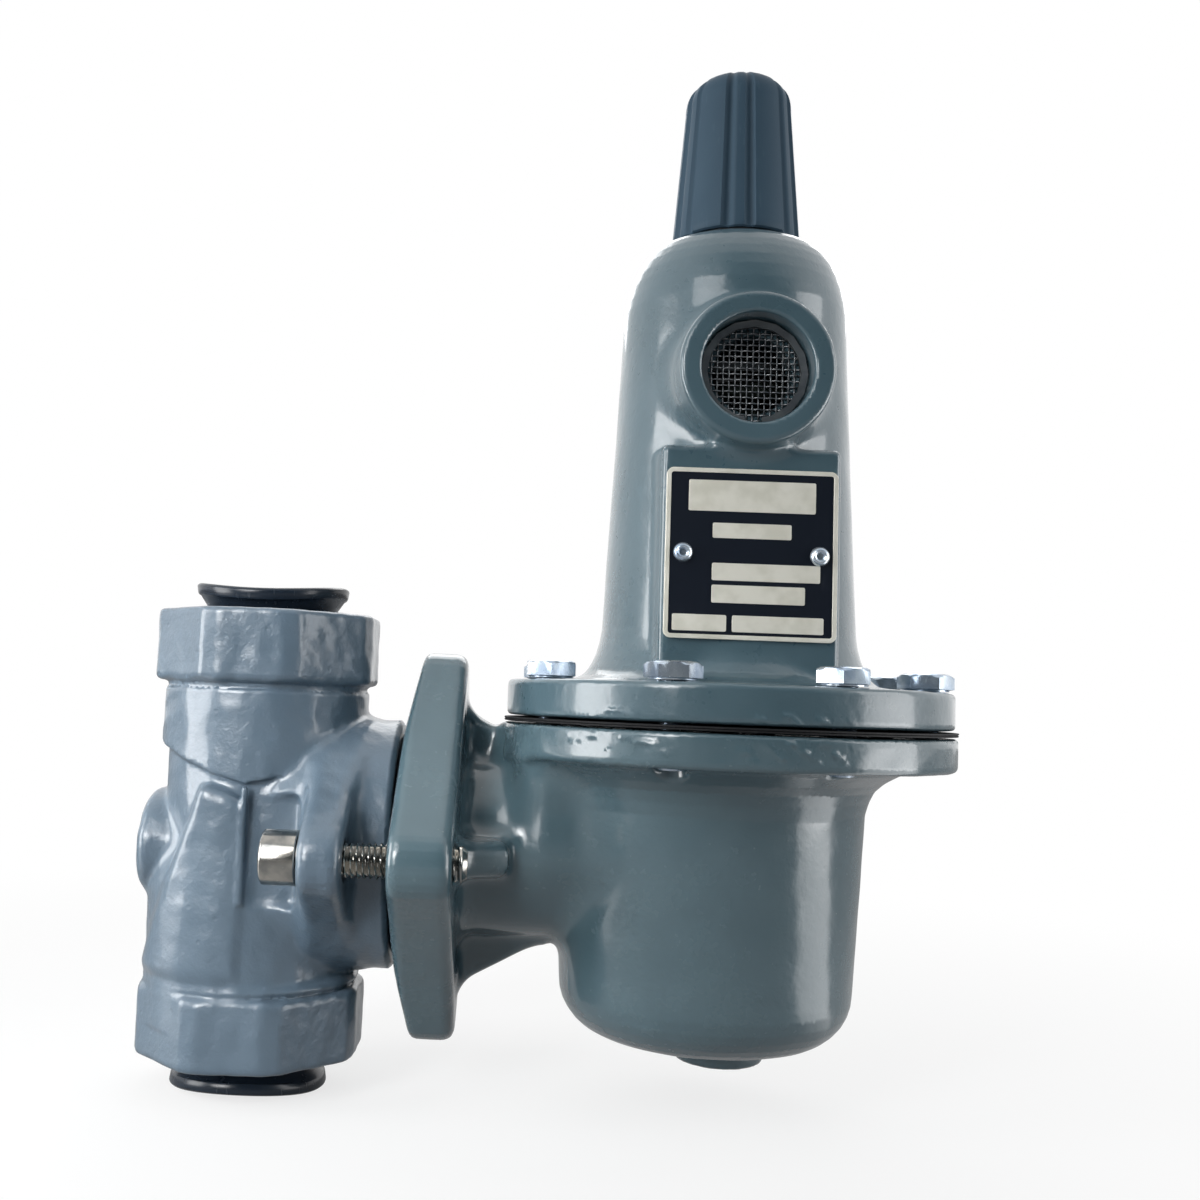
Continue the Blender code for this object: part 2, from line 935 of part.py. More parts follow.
def make_casing():
    flange = flange_diameter / 2
    low = gasket_height - lower_flange_thickness
    casing = turned(
        "diaphragm_casing",
        [
            (0, gasket_height),
            (flange - flange_edge * 0.4, gasket_height),
            (flange, gasket_height - flange_edge * 0.4),
            (flange, low + flange_edge),
            (flange - flange_edge, low),
            (0, low),
        ],
        round_steps,
        enamel,
        where=(casing_reach, 0, 0),
    )
    floor = gasket_height - bowl_depth
    slope = (bowl_top_radius - bowl_bottom_radius) / (bowl_depth - flare_depth)
    fillet_start = bowl_bottom_radius + slope * bowl_fillet
    bowl = turned(
        "bowl",
        [
            (0, gasket_height - lower_flange_thickness / 2),
            (flare_radius, gasket_height - lower_flange_thickness / 2),
            (flare_radius, low - 0.0006),
            (flare_radius - 0.0035, low - 0.0030),
            (bowl_top_radius + 0.0013, low - flare_depth * 0.62),
            (bowl_top_radius, low - flare_depth),
            (fillet_start, floor + bowl_fillet),
        ]
        + arc(
            fillet_start - bowl_fillet,
            floor + bowl_fillet,
            bowl_fillet,
            0,
            -pi / 2,
            5,
        )[1:]
        + [(0, floor)],
        round_steps,
        where=(bowl_axis, 0, 0),
    )
    boss = turned(
        "bottom_boss",
        [
            (0, floor + bowl_wall / 2),
            (bottom_boss_diameter / 2 + 0.001, floor + bowl_wall / 2),
            (bottom_boss_diameter / 2, floor - bottom_boss_height),
            (0, floor - bottom_boss_height),
        ],
        small_steps,
        where=(casing_reach, 0, 0),
    )
    mount = plate(
        "body_flange",
        diamond_outline(),
        casing_flange_thickness,
        where=(casing_face + casing_flange_thickness / 2, 0, neck_height),
        turn=across_x(),
    )
    reach = body_screw_offset + casing_lobe_radius + 0.002
    draft = plate(
        "flange_draft",
        [
            (casing_face, -lobe_draft_start),
            (casing_face + lobe_draft, -reach),
            (casing_back + 0.001, -reach),
            (casing_back + 0.001, reach),
            (casing_face + lobe_draft, reach),
            (casing_face, lobe_draft_start),
        ],
        3 * reach,
        where=(0, 0, neck_height),
        turn=(pi / 2, 0, 0),
    )
    combine(mount, draft, "INTERSECT")
    soften(mount, 0.0022, angle=0.5)
    neck = cylinder(
        "casing_neck",
        casing_neck_diameter / 2,
        casing_face + casing_flange_thickness / 2,
        bowl_axis,
        round_steps,
        where=(0, 0, neck_height),
        turn=along_x(),
    )
    housing_left = casing_reach - housing_end
    housing = box(
        "lever_housing",
        (housing_left, -housing_half_width, neck_height - housing_drop),
        (bowl_axis, housing_half_width, low + 0.004),
    )
    soften(housing, housing_corner, 3)
    add(casing, bowl, boss, mount, neck, housing)
    for quarter, label in enumerate(("top", "rear", "bottom", "front")):
        length, foot = (gusset_length, gusset_foot)
        if quarter % 2:
            length, foot = (side_gusset_length, side_gusset_foot)
        gusset = plate(
            label + "_gusset",
            [
                (casing_back - 0.004, casing_neck_diameter * 0.3),
                (casing_back + length, casing_neck_diameter * 0.3),
                (casing_back + length, foot),
                (casing_back - 0.001, gusset_height),
                (casing_back - 0.004, gusset_height),
            ],
            gusset_thickness,
            where=(0, 0, neck_height),
            turn=(pi / 2 + quarter * pi / 2, 0, 0),
        )
        soften(gusset, 0.0022, 1)
        add(casing, gusset)

    inner = bowl_wall
    inside_floor = floor + inner
    inside_corner = bowl_fillet - inner * 0.5
    cavity = turned(
        "bowl_cavity",
        [
            (0, gasket_height - casing_mouth_depth * 0.6),
            (bowl_top_radius - inner + 0.001, gasket_height - casing_mouth_depth * 0.6),
            (bowl_top_radius - inner, low - flare_depth * 0.5),
            (fillet_start - inner, inside_floor + inside_corner),
        ]
        + arc(
            fillet_start - inner - inside_corner,
            inside_floor + inside_corner,
            inside_corner,
            0,
            -pi / 2,
            4,
        )[1:]
        + [(0, inside_floor)],
        round_steps,
        where=(bowl_axis, 0, 0),
    )
    mouth = cylinder(
        "casing_mouth",
        casing_mouth_diameter / 2,
        gasket_height - casing_mouth_depth,
        gasket_height + 0.001,
        round_steps,
        where=(casing_reach, 0, 0),
    )
    bore = cylinder(
        "casing_bore",
        casing_neck_bore / 2,
        casing_face - 0.001,
        bowl_axis,
        round_steps,
        where=(0, 0, neck_height),
        turn=along_x(),
    )
    recess = cylinder(
        "guide_recess",
        guide_recess_diameter / 2,
        casing_face - 0.001,
        casing_face + guide_recess_depth,
        round_steps,
        where=(0, 0, neck_height),
        turn=along_x(),
    )
    pocket = box(
        "lever_pocket",
        (
            housing_left + housing_wall,
            -housing_half_width + housing_wall,
            neck_height + 0.002,
        ),
        (
            bowl_axis,
            housing_half_width - housing_wall,
            low - housing_wall * 0.6,
        ),
    )
    cut(casing, cavity, mouth, bore, recess, pocket)
    pad_half = retainer_half_width + 0.001
    pad = box(
        "retainer_pad",
        (
            bowl_axis - sqrt(bowl_bottom_radius**2 - pad_half**2) + clearance,
            -pad_half,
            pivot_z - retainer_drop - 0.001,
        ),
        (
            pivot_x - retainer_reach,
            pad_half,
            neck_height - casing_neck_bore / 2 - 0.0012,
        ),
    )
    add(casing, pad)
    for side in (-1, 1):
        cut(
            casing,
            cylinder(
                "lever_screw_hole_" + str(side),
                lever_screw_diameter / 2 + clearance,
                pivot_x - retainer_reach - lever_screw_length + retainer_plate - 0.0005,
                pivot_x,
                tiny_steps,
                where=(0, side * lever_screw_place()[0], lever_screw_place()[1]),
                turn=along_x(),
            ),
            cylinder(
                "body_screw_hole_" + str(side),
                body_screw_diameter / 2 + clearance,
                casing_face - 0.001,
                casing_back + 0.001,
                small_steps,
                where=(0, side * body_screw_offset, neck_height),
                turn=along_x(),
            ),
        )
    cut_bolt_holes(casing, "casing", low, gasket_height)


def lever_screw_place():
    """Half the spacing and the height of the two screws of the lever retainer."""
    return retainer_half_width - 0.0045, pivot_z - retainer_drop + 0.0044


def make_lever():
    retainer_left = pivot_x - retainer_reach + clearance
    retainer_right = retainer_left + retainer_plate
    ear_inner = lever_thickness / 2 + clearance
    hole = lever_pin_diameter / 2 + clearance
    retainer = box(
        "lever_retainer",
        (retainer_left, -retainer_half_width, pivot_z - retainer_drop),
        (retainer_right, retainer_half_width, pivot_z - lever_hub_radius / 4),
        steel,
    )
    for side in (-1, 1):
        ear = plate(
            "retainer_ear_" + str(side),
            [(retainer_right - 0.0012, -0.0048)]
            + arc(pivot_x, 0, 0.0048, -pi / 2, pi / 2, 8)
            + [(retainer_right - 0.0012, 0.0043)],
            retainer_ear,
            where=(0, side * (ear_inner + retainer_ear / 2), pivot_z),
            turn=to_front(),
        )
        add(retainer, ear)
    cut(
        retainer,
        cylinder(
            "retainer_pin_hole",
            hole,
            -retainer_half_width,
            retainer_half_width,
            tiny_steps,
            where=(pivot_x, 0, pivot_z),
            turn=to_front(),
        ),
    )
    spacing, height = lever_screw_place()
    for index, side in enumerate((-1, 1)):
        cut(
            retainer,
            cylinder(
                "retainer_screw_hole_" + str(side),
                lever_screw_diameter / 2 + clearance,
                retainer_left - 0.001,
                retainer_right + 0.001,
                tiny_steps,
                where=(0, side * spacing, height),
                turn=along_x(),
            ),
        )
        seat = retainer_right + clearance
        head = lever_screw_head_diameter / 2
        shank = lever_screw_diameter / 2
        turned(
            "lever_screw_" + str(index + 1),
            [
                (0, seat + lever_screw_head),
                (head * 0.8, seat + lever_screw_head),
                (head, seat + lever_screw_head * 0.5),
                (head, seat),
                (shank, seat),
                (shank, seat - lever_screw_length),
                (0, seat - lever_screw_length),
            ],
            tiny_steps,
            zinc,
            where=(0, side * spacing, height),
            turn=along_x(),
        )
    cylinder(
        "lever_pin",
        lever_pin_diameter / 2,
        -ear_inner - retainer_ear - 0.001,
        ear_inner + retainer_ear + 0.001,
        tiny_steps,
        where=(pivot_x, 0, pivot_z),
        turn=to_front(),
        paint=steel,
    )
    slot = drive_pin_diameter / 2 + clearance
    tine = slot + 0.0024
    top = lever_short_arm + 0.0042
    arm = lever_arm_half
    ball = asin(arm / lever_tip_radius)
    outline = (
        arc(0, 0, lever_hub_radius, pi, pi * 1.5, 6)
        + [(lever_long_arm * 0.5, -arm * 1.4)]
        + arc(lever_long_arm, 0, lever_tip_radius, ball - pi, pi - ball, 10)
        + [(lever_long_arm * 0.5, arm * 1.4), (tine + 0.003, lever_hub_radius)]
        + [(tine, lever_hub_radius + 0.003), (tine, top), (slot, top)]
        + arc(0, lever_short_arm, slot, 0, -pi, 8)
        + [(-slot, top), (-tine, top)]
    )
    lever = plate(
        "lever",
        outline,
        lever_thickness,
        steel,
        where=(pivot_x, 0, pivot_z),
        turn=to_front(),
    )
    cut(
        lever,
        cylinder(
            "lever_pin_hole",
            hole,
            -retainer_half_width,
            retainer_half_width,
            tiny_steps,
            where=(pivot_x, 0, pivot_z),
            turn=to_front(),
        ),
    )


def make_diaphragm():
    """A clamped rim, one convolution and a flat middle of one thickness."""
    base = gasket_height + seat_gap
    top = base + diaphragm_thickness
    clamp = casing_mouth_diameter / 2 - 2 * clearance
    middle = diaphragm_plate_diameter / 2
    centre = (clamp + middle) / 2
    half = (clamp - middle) / 2
    hole = diaphragm_screw_diameter / 2 + clearance
    upper = []
    lower = []
    for i in range(5):
        share = i / 4
        rise = convolution_height * sin(pi * share) ** 2
        upper.append((centre + half * cos(pi * share), top + rise))
        lower.append((centre + half * cos(pi * share), base + rise))
    edge = flange_diameter / 2 + 0.0003
    turned(
        "diaphragm",
        [(hole, top)] + upper[::-1] + [(edge, top), (edge, base)] + lower + [(hole, base)],
        round_steps,
        fabric_rubber,
        where=(casing_reach, 0, 0),
        ring=True,
    )
    for index in range(casing_screw_count):
        hole_cut = cylinder(
            "diaphragm_hole_" + str(index + 1),
            casing_screw_diameter / 2 + clearance,
            base - 0.001,
            top + 0.001,
            tiny_steps,
            where=bolt_place(index, 0),
        )
        cut(bpy.data.objects["diaphragm"], hole_cut)
    head = head_diameter / 2
    turned(
        "diaphragm_head",
        [
            (hole, head_base + head_thickness),
            (head - 0.004, head_base + head_thickness),
            (head - head_thickness, head_base + head_rim),
            (head, head_base + head_rim),
            (head - 0.003, head_base),
            (hole, head_base),
        ],
        small_steps,
        steel,
        where=(casing_reach, 0, 0),
        ring=True,
    )
    seat = seat_diameter / 2
    inner = diaphragm_screw_flats * 0.75
    collar = (spring_mean_diameter - spring_wire) / 2 - clearance
    turned(
        "lower_spring_seat",
        [
            (inner, seat_base + seat_thickness + seat_collar_height),
            (collar - 0.0008, seat_base + seat_thickness + seat_collar_height),
            (collar, seat_base + seat_thickness),
            (seat, seat_base + seat_thickness),
            (seat, seat_base),
            (inner, seat_base),
        ],
        small_steps,
        steel,
        where=(casing_reach, 0, 0),
        ring=True,
    )
    post_top = base - clearance
    bolt_seat = head_base + head_thickness + clearance
    bolt_end = bolt_seat - diaphragm_screw_length
    tip = lever_tip_radius + clearance
    post_end = pivot_z - tip - 0.003
    shaft = post_diameter / 2
    post = turned(
        "pusher_post",
        [
            (0, bolt_end - clearance),
            (diaphragm_screw_diameter / 2 + clearance, bolt_end - clearance),
            (diaphragm_screw_diameter / 2 + clearance, post_top),
            (post_flange_diameter / 2, post_top),
            (post_flange_diameter / 2, post_top - post_flange_thickness),
            (shaft + 0.002, post_top - post_flange_thickness),
            (shaft, post_top - post_flange_thickness - 0.004),
            (shaft, post_end + 0.001),
            (shaft - 0.001, post_end),
            (0, post_end),
        ],
        small_steps,
        aluminium,
        where=(casing_reach, 0, 0),
    )
    slot = lever_thickness / 2 + clearance
    cut(
        post,
        box(
            "post_window",
            (casing_reach - post_diameter, -slot, pivot_z - tip),
            (casing_reach + post_diameter, slot, pivot_z + tip),
        ),
    )
    bolt = cylinder(
        "diaphragm_cap_screw",
        corner_radius(diaphragm_screw_flats, 6),
        bolt_seat,
        bolt_seat + diaphragm_screw_head,
        6,
        where=(casing_reach, 0, 0),
        paint=zinc,
    )
    shank = cylinder(
        "diaphragm_screw_shank",
        diaphragm_screw_diameter / 2,
        bolt_end,
        bolt_seat + diaphragm_screw_head / 2,
        tiny_steps,
        where=(casing_reach, 0, 0),
    )
    add(bolt, shank)


def make_spring():
    """A coil with its end turns lying flat on the seats."""
    curve = bpy.data.curves.new("control_spring", "CURVE")
    curve.dimensions = "3D"
    curve.bevel_depth = spring_wire / 2
    curve.bevel_resolution = 1
    curve.use_fill_caps = True
    per_turn = 12
    count = spring_turns * per_turn
    low = spring_base + spring_wire / 2
    high = spring_top - spring_wire / 2
    free = high - low - 2 * spring_wire * 1.06
    line = curve.splines.new("POLY")
    line.points.add(count)
    for i, point in enumerate(line.points):
        turn = i / per_turn
        middle = min(max(turn - 1, 0), spring_turns - 2)
        ends = min(turn, 1) + max(turn - spring_turns + 1, 0)
        height = low + spring_wire * 1.06 * ends + free * middle / (spring_turns - 2)
        angle = 2 * pi * turn
        radius = spring_mean_diameter / 2
        point.co = (radius * cos(angle), radius * sin(angle), height, 1)
    guide = bpy.data.objects.new("control_spring_wire", curve)
    cutters.objects.link(guide)
    mesh = solid_mesh(guide, "control_spring")
    obj = bpy.data.objects.new("control_spring", mesh)
    mesh.materials.clear()
    place(obj, regulator, spring_paint, (casing_reach, 0, 0))


def make_adjustment():
    seat = seat_diameter / 2
    collar = (spring_mean_diameter - spring_wire) / 2 - clearance
    base = upper_seat_base
    turned(
        "upper_spring_seat",
        [
            (0, base + seat_thickness),
            (seat, base + seat_thickness),
            (seat, base),
            (collar, base),
            (collar - 0.0008, base - seat_collar_height),
            (collar - 0.0028, base - seat_collar_height),
            (collar - 0.0028, base - 0.0005),
            (0, base - 0.0005),
        ],
        small_steps,
        steel,
        where=(casing_reach, 0, 0),
    )
    radius = adjusting_screw_diameter / 2
    top = screw_base + adjusting_screw_length
    screw = turned(
        "adjusting_screw",
        [
            (0, top),
            (radius - 0.0008, top),
            (radius, top - 0.0008),
            (radius, screw_base + 0.002),
            (radius * 0.6, screw_base),
            (0, screw_base),
        ],
        small_steps,
        zinc,
        where=(casing_reach, 0, 0),
    )
    cut(
        screw,
        box(
            "adjusting_slot",
            (casing_reach - 0.01, -adjusting_slot_width / 2, top - adjusting_slot_depth),
            (casing_reach + 0.01, adjusting_slot_width / 2, top + 0.001),
        ),
    )
    nut_base = neck_top + clearance
    nut = cylinder(
        "locknut",
        corner_radius(locknut_flats, 6),
        nut_base,
        nut_base + locknut_height,
        6,
        where=(casing_reach, 0, 0),
        paint=zinc,
    )
    cut(
        nut,
        cylinder(
            "locknut_thread",
            radius + clearance,
            nut_base - 0.001,
            nut_base + locknut_height + 0.001,
            small_steps,
            where=(casing_reach, 0, 0),
        ),
    )


def make_spring_case():
    rim = case_flange_diameter / 2
    flare_top = case_flange_thickness + case_flare_height
    shoulder_span = case_height - case_shoulder_height
    shoulder = [
        (
            case_top_radius + (case_high_radius - case_top_radius) * sin(pi / 2 * i / 5),
            case_shoulder_height + shoulder_span * cos(pi / 2 * i / 5),
        )
        for i in range(6)
    ]
    foot = case_foot_radius
    flare = [
        (
            case_low_radius + (foot - case_low_radius) * (1 - sin(pi / 2 * i / 4)),
            case_flange_thickness + case_flare_height * (1 - cos(pi / 2 * i / 4)),
        )
        for i in range(4, -1, -1)
    ]
    roof = case_height - case_roof
    profile = (
        [
            (0, case_height + cap_neck_height),
            (cap_neck_radius - 0.0008, case_height + cap_neck_height),
            (cap_neck_radius, case_height + cap_neck_height - 0.0008),
            (cap_neck_radius, case_height),
        ]
        + shoulder
        + flare
        + [
            (rim - flange_edge, case_flange_thickness),
            (rim, case_flange_thickness - flange_edge),
            (rim, flange_edge * 0.4),
            (rim - flange_edge * 0.4, 0),
            (0, 0),
        ]
    )
    case = turned(
        "spring_case",
        profile,
        round_steps,
        enamel,
        where=(casing_reach, 0, case_base),
    )
    pad = box(
        "nameplate_pad",
        (casing_reach - pad_half_width, -pad_face, case_seat - pad_edge),
        (casing_reach + pad_half_width, -pad_face / 2, case_base + pad_top),
    )
    soften(pad, pad_edge)
    vent = turned(
        "vent_boss",
        [
            (0, vent_face),
            (vent_boss_radius - 0.001, vent_face),
            (vent_boss_radius, vent_face - 0.001),
            (vent_boss_radius + 0.0015, vent_face * 0.5),
            (0, vent_face * 0.5),
        ],
        round_steps,
        where=(casing_reach, 0, case_base + vent_height),
        turn=to_front(),
    )
    add(case, pad, vent)
    chamber = turned(
        "spring_chamber",
        [
            (0, roof),
            (case_top_radius - case_wall * 0.4, roof),
            (case_high_radius - case_wall, case_shoulder_height - 0.002),
            (case_low_radius - case_wall, flare_top),
            (case_low_radius - case_wall + 0.0008, flare_top - 0.006),
            (casing_mouth_diameter / 2 - 0.001, 0.005),
            (casing_mouth_diameter / 2, -0.001),
            (0, -0.001),
        ],
        round_steps,
        where=(casing_reach, 0, case_base),
    )
    cut(
        case,
        chamber,
        cylinder(
            "adjusting_screw_hole",
            adjusting_screw_diameter / 2 + clearance,
            roof - 0.001,
            case_height + cap_neck_height + 0.001,
            small_steps,
            where=(casing_reach, 0, case_base),
        ),
        cylinder(
            "vent_bore",
            vent_bore / 2,
            vent_face - vent_bore_depth,
            vent_face + 0.001,
            small_steps,
            where=(casing_reach, 0, case_base + vent_height),
            turn=to_front(),
        ),
        cylinder(
            "vent_passage",
            vent_passage / 2,
            0.012,
            vent_face,
            small_steps,
            where=(casing_reach, 0, case_base + vent_height),
            turn=to_front(),
        ),
    )
    for side in (-1, 1):
        cut(
            case,
            cylinder(
                "rivet_hole_" + str(side),
                rivet_shank / 2 + clearance,
                pad_face - rivet_length - 0.0005,
                pad_face + 0.001,
                tiny_steps,
                where=rivet_place(side),
                turn=to_front(),
            ),
        )
    cut_bolt_holes(case, "case", case_base, case_seat)


def rivet_place(side):
    return (
        casing_reach + side * rivet_spacing / 2,
        0,
        case_base + plate_bottom + plate_height / 2,
    )


def make_vent_trim():
    """The insect screen and the spring ring that holds it in the vent."""
    seat = vent_face - vent_bore_depth + clearance
    radius = vent_bore / 2 - clearance
    centre = (casing_reach, 0, case_base + vent_height)
    cylinder(
        "vent_screen",
        radius,
        seat,
        seat + 0.0008,
        small_steps,
        where=centre,
        turn=to_front(),
        paint=steel,
    )
    ring = seat + 0.0008 + clearance
    snap = turned(
        "vent_snap_ring",
        [
            (radius - 0.0016, ring + 0.001),
            (radius, ring + 0.001),
            (radius, ring),
            (radius - 0.0016, ring),
        ],
        small_steps,
        steel,
        where=centre,
        turn=to_front(),
        ring=True,
    )
    middle = centre[2]
    cut(
        snap,
        box(
            "snap_ring_gap",
            (casing_reach - 0.002, -vent_face, middle - radius - 0.001),
            (casing_reach + 0.002, -vent_face * 0.5, middle - radius / 2),
        ),
    )


def make_nameplate():
    face = pad_face + clearance
    low = case_base + plate_bottom
    outline = []
    corners = ((1, 1), (-1, 1), (-1, -1), (1, -1))
    for index, (across, up) in enumerate(corners):
        x = across * (plate_width / 2 - plate_corner)
        y = up * (plate_height / 2 - plate_corner)
        outline += arc(x, y, plate_corner, index * pi / 2, (index + 1) * pi / 2, 3)
    sheet = plate(
        "nameplate",
        outline,
        plate_thickness,
        plate_metal,
        where=(casing_reach, -face - plate_thickness / 2, low + plate_height / 2),
        turn=to_front(),
    )
    for index, side in enumerate((-1, 1)):
        cut(
            sheet,
            cylinder(
                "plate_hole_" + str(side),
                rivet_shank / 2 + clearance,
                face - 0.001,
                face + plate_thickness + 0.001,
                tiny_steps,
                where=rivet_place(side),
                turn=to_front(),
            ),
        )
        under = face + plate_thickness + clearance
        head = rivet_head_diameter / 2
        turned(
            "nameplate_rivet_" + str(index + 1),
            [
                (0, under + rivet_head_height * 0.55),
                (head * 0.42, under + rivet_head_height * 0.6),
                (head * 0.5, under + rivet_head_height),
                (head * 0.75, under + rivet_head_height * 0.8),
                (head, under),
                (rivet_shank / 2, under),
                (rivet_shank / 2, under - rivet_length),
                (0, under - rivet_length),
            ],
            tiny_steps,
            zinc,
            where=rivet_place(side),
            turn=to_front(),
        )


def make_cap():
    gasket_base = case_top + clearance
    gasket_top = gasket_base + cap_gasket_thickness
    turned(
        "cap_gasket",
        [
            (cap_neck_radius + clearance, gasket_top),
            (cap_base_radius - 0.0008, gasket_top),
            (cap_base_radius - 0.0008, gasket_base),
            (cap_neck_radius + clearance, gasket_base),
        ],
        small_steps,
        nitrile,
        where=(casing_reach, 0, 0),
        ring=True,
    )
    base = gasket_top + clearance
    top = base + cap_height
    rim = cap_top_radius - cap_shoulder
    thread = cap_neck_radius + clearance
    hollow = cap_top_radius - cap_wall
    cap = turned(
        "closing_cap",
        [(0, top), (rim * 0.5, top - cap_crown * 0.25)]
        + arc(rim, top - cap_crown - cap_shoulder, cap_shoulder, pi / 2, 0, 4)
        + [
            (cap_base_radius, base + 0.0006),
            (cap_base_radius - 0.0006, base),
            (thread, base),
            (thread, base + cap_thread_depth),
            (hollow, base + cap_thread_depth + 0.002),
            (hollow, top - cap_roof - cap_shoulder),
            (hollow - 0.002, top - cap_roof - cap_crown),
            (0, top - cap_roof - cap_crown),
        ],
        round_steps,
        slate_plastic,
        where=(casing_reach, 0, 0),
    )
    side = atan2(cap_base_radius - cap_top_radius, cap_height - cap_shoulder)
    reach = (cap_base_radius + cap_top_radius) / 2 + cap_groove_radius - cap_groove_depth
    middle = (base + top) / 2
    for index in range(cap_flutes):
        for lobe in (-1, 1):
            angle = 2 * pi * index / cap_flutes - pi / 2 + lobe * cap_rib_angle / 2
            groove = cylinder(
                "cap_groove_" + str(index + 1) + ("a" if lobe < 0 else "b"),
                cap_groove_radius,
                -cap_height,
                cap_height,
                12,
                where=(
                    casing_reach + reach * cos(angle),
                    reach * sin(angle),
                    middle,
                ),
                turn=(0, -side, angle),
            )
            cut(cap, groove)


def make_casing_screws():
    seat = case_seat + clearance
    corner = corner_radius(casing_screw_flats, 6)
    for index in range(casing_screw_count):
        where = bolt_place(index, seat)
        name = "casing_screw_" + str(index + 1)
        screw = cylinder(name, corner, 0, casing_screw_head, 6, where, paint=zinc, spin=0.4 * index)
        shank = cylinder(
            name + "_shank",
            casing_screw_diameter / 2,
            -casing_screw_length,
            casing_screw_head / 2,
            tiny_steps,
            where,
        )
        crown = turned(
            name + "_crown",
            [
                (0, casing_screw_head + 0.001),
                (casing_screw_flats / 2 - 0.0016, casing_screw_head + 0.001),
                (corner + 0.0008, casing_screw_head - 0.0010),
                (corner + 0.0008, -0.001),
                (0, -0.001),
            ],
            small_steps,
            where=where,
        )
        combine(screw, crown, "INTERSECT")
        add(screw, shank)


make_body()
make_plugs()
make_body_screws()
make_trim()
make_guide()
make_casing()
make_lever()
make_diaphragm()
make_spring()
make_adjustment()
make_spring_case()
make_vent_trim()
make_nameplate()
make_cap()
make_casing_screws()

for obj in regulator.objects:
    obj.data.shade_smooth()
    obj.data.set_sharp_from_angle(angle=0.6)
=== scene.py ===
import json
import math

import bmesh
import bpy
import numpy as np
from mathutils import Matrix, Vector


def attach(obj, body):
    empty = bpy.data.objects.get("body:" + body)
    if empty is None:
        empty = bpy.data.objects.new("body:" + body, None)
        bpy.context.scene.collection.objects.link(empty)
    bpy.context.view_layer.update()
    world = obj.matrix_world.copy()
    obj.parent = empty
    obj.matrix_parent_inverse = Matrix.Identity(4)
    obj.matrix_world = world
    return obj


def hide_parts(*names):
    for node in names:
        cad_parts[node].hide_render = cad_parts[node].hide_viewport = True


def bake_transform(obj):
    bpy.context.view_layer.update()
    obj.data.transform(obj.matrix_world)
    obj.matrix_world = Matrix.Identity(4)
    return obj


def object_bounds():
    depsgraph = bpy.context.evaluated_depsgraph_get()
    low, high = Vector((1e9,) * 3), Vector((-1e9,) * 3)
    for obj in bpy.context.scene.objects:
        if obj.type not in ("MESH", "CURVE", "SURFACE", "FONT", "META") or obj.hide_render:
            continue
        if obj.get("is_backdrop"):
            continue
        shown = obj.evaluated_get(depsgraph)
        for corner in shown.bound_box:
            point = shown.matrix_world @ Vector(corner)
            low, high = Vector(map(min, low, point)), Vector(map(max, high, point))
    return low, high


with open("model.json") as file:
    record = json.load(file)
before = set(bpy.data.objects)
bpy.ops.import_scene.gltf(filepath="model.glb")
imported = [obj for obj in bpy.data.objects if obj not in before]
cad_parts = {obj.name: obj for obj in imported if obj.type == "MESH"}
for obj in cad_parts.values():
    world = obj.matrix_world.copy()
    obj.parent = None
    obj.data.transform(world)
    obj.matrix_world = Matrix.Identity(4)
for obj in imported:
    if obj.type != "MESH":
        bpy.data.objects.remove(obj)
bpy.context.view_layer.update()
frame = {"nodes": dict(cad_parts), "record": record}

nodes = frame["nodes"]
turn = 2 * math.pi
mm = 0.001
springAxis = 112.4  # x of the upright axis of casing, spring and cap. Sizes of pieces are in mm
bpy.context.scene.view_settings.view_transform = "Standard"


# Shader building

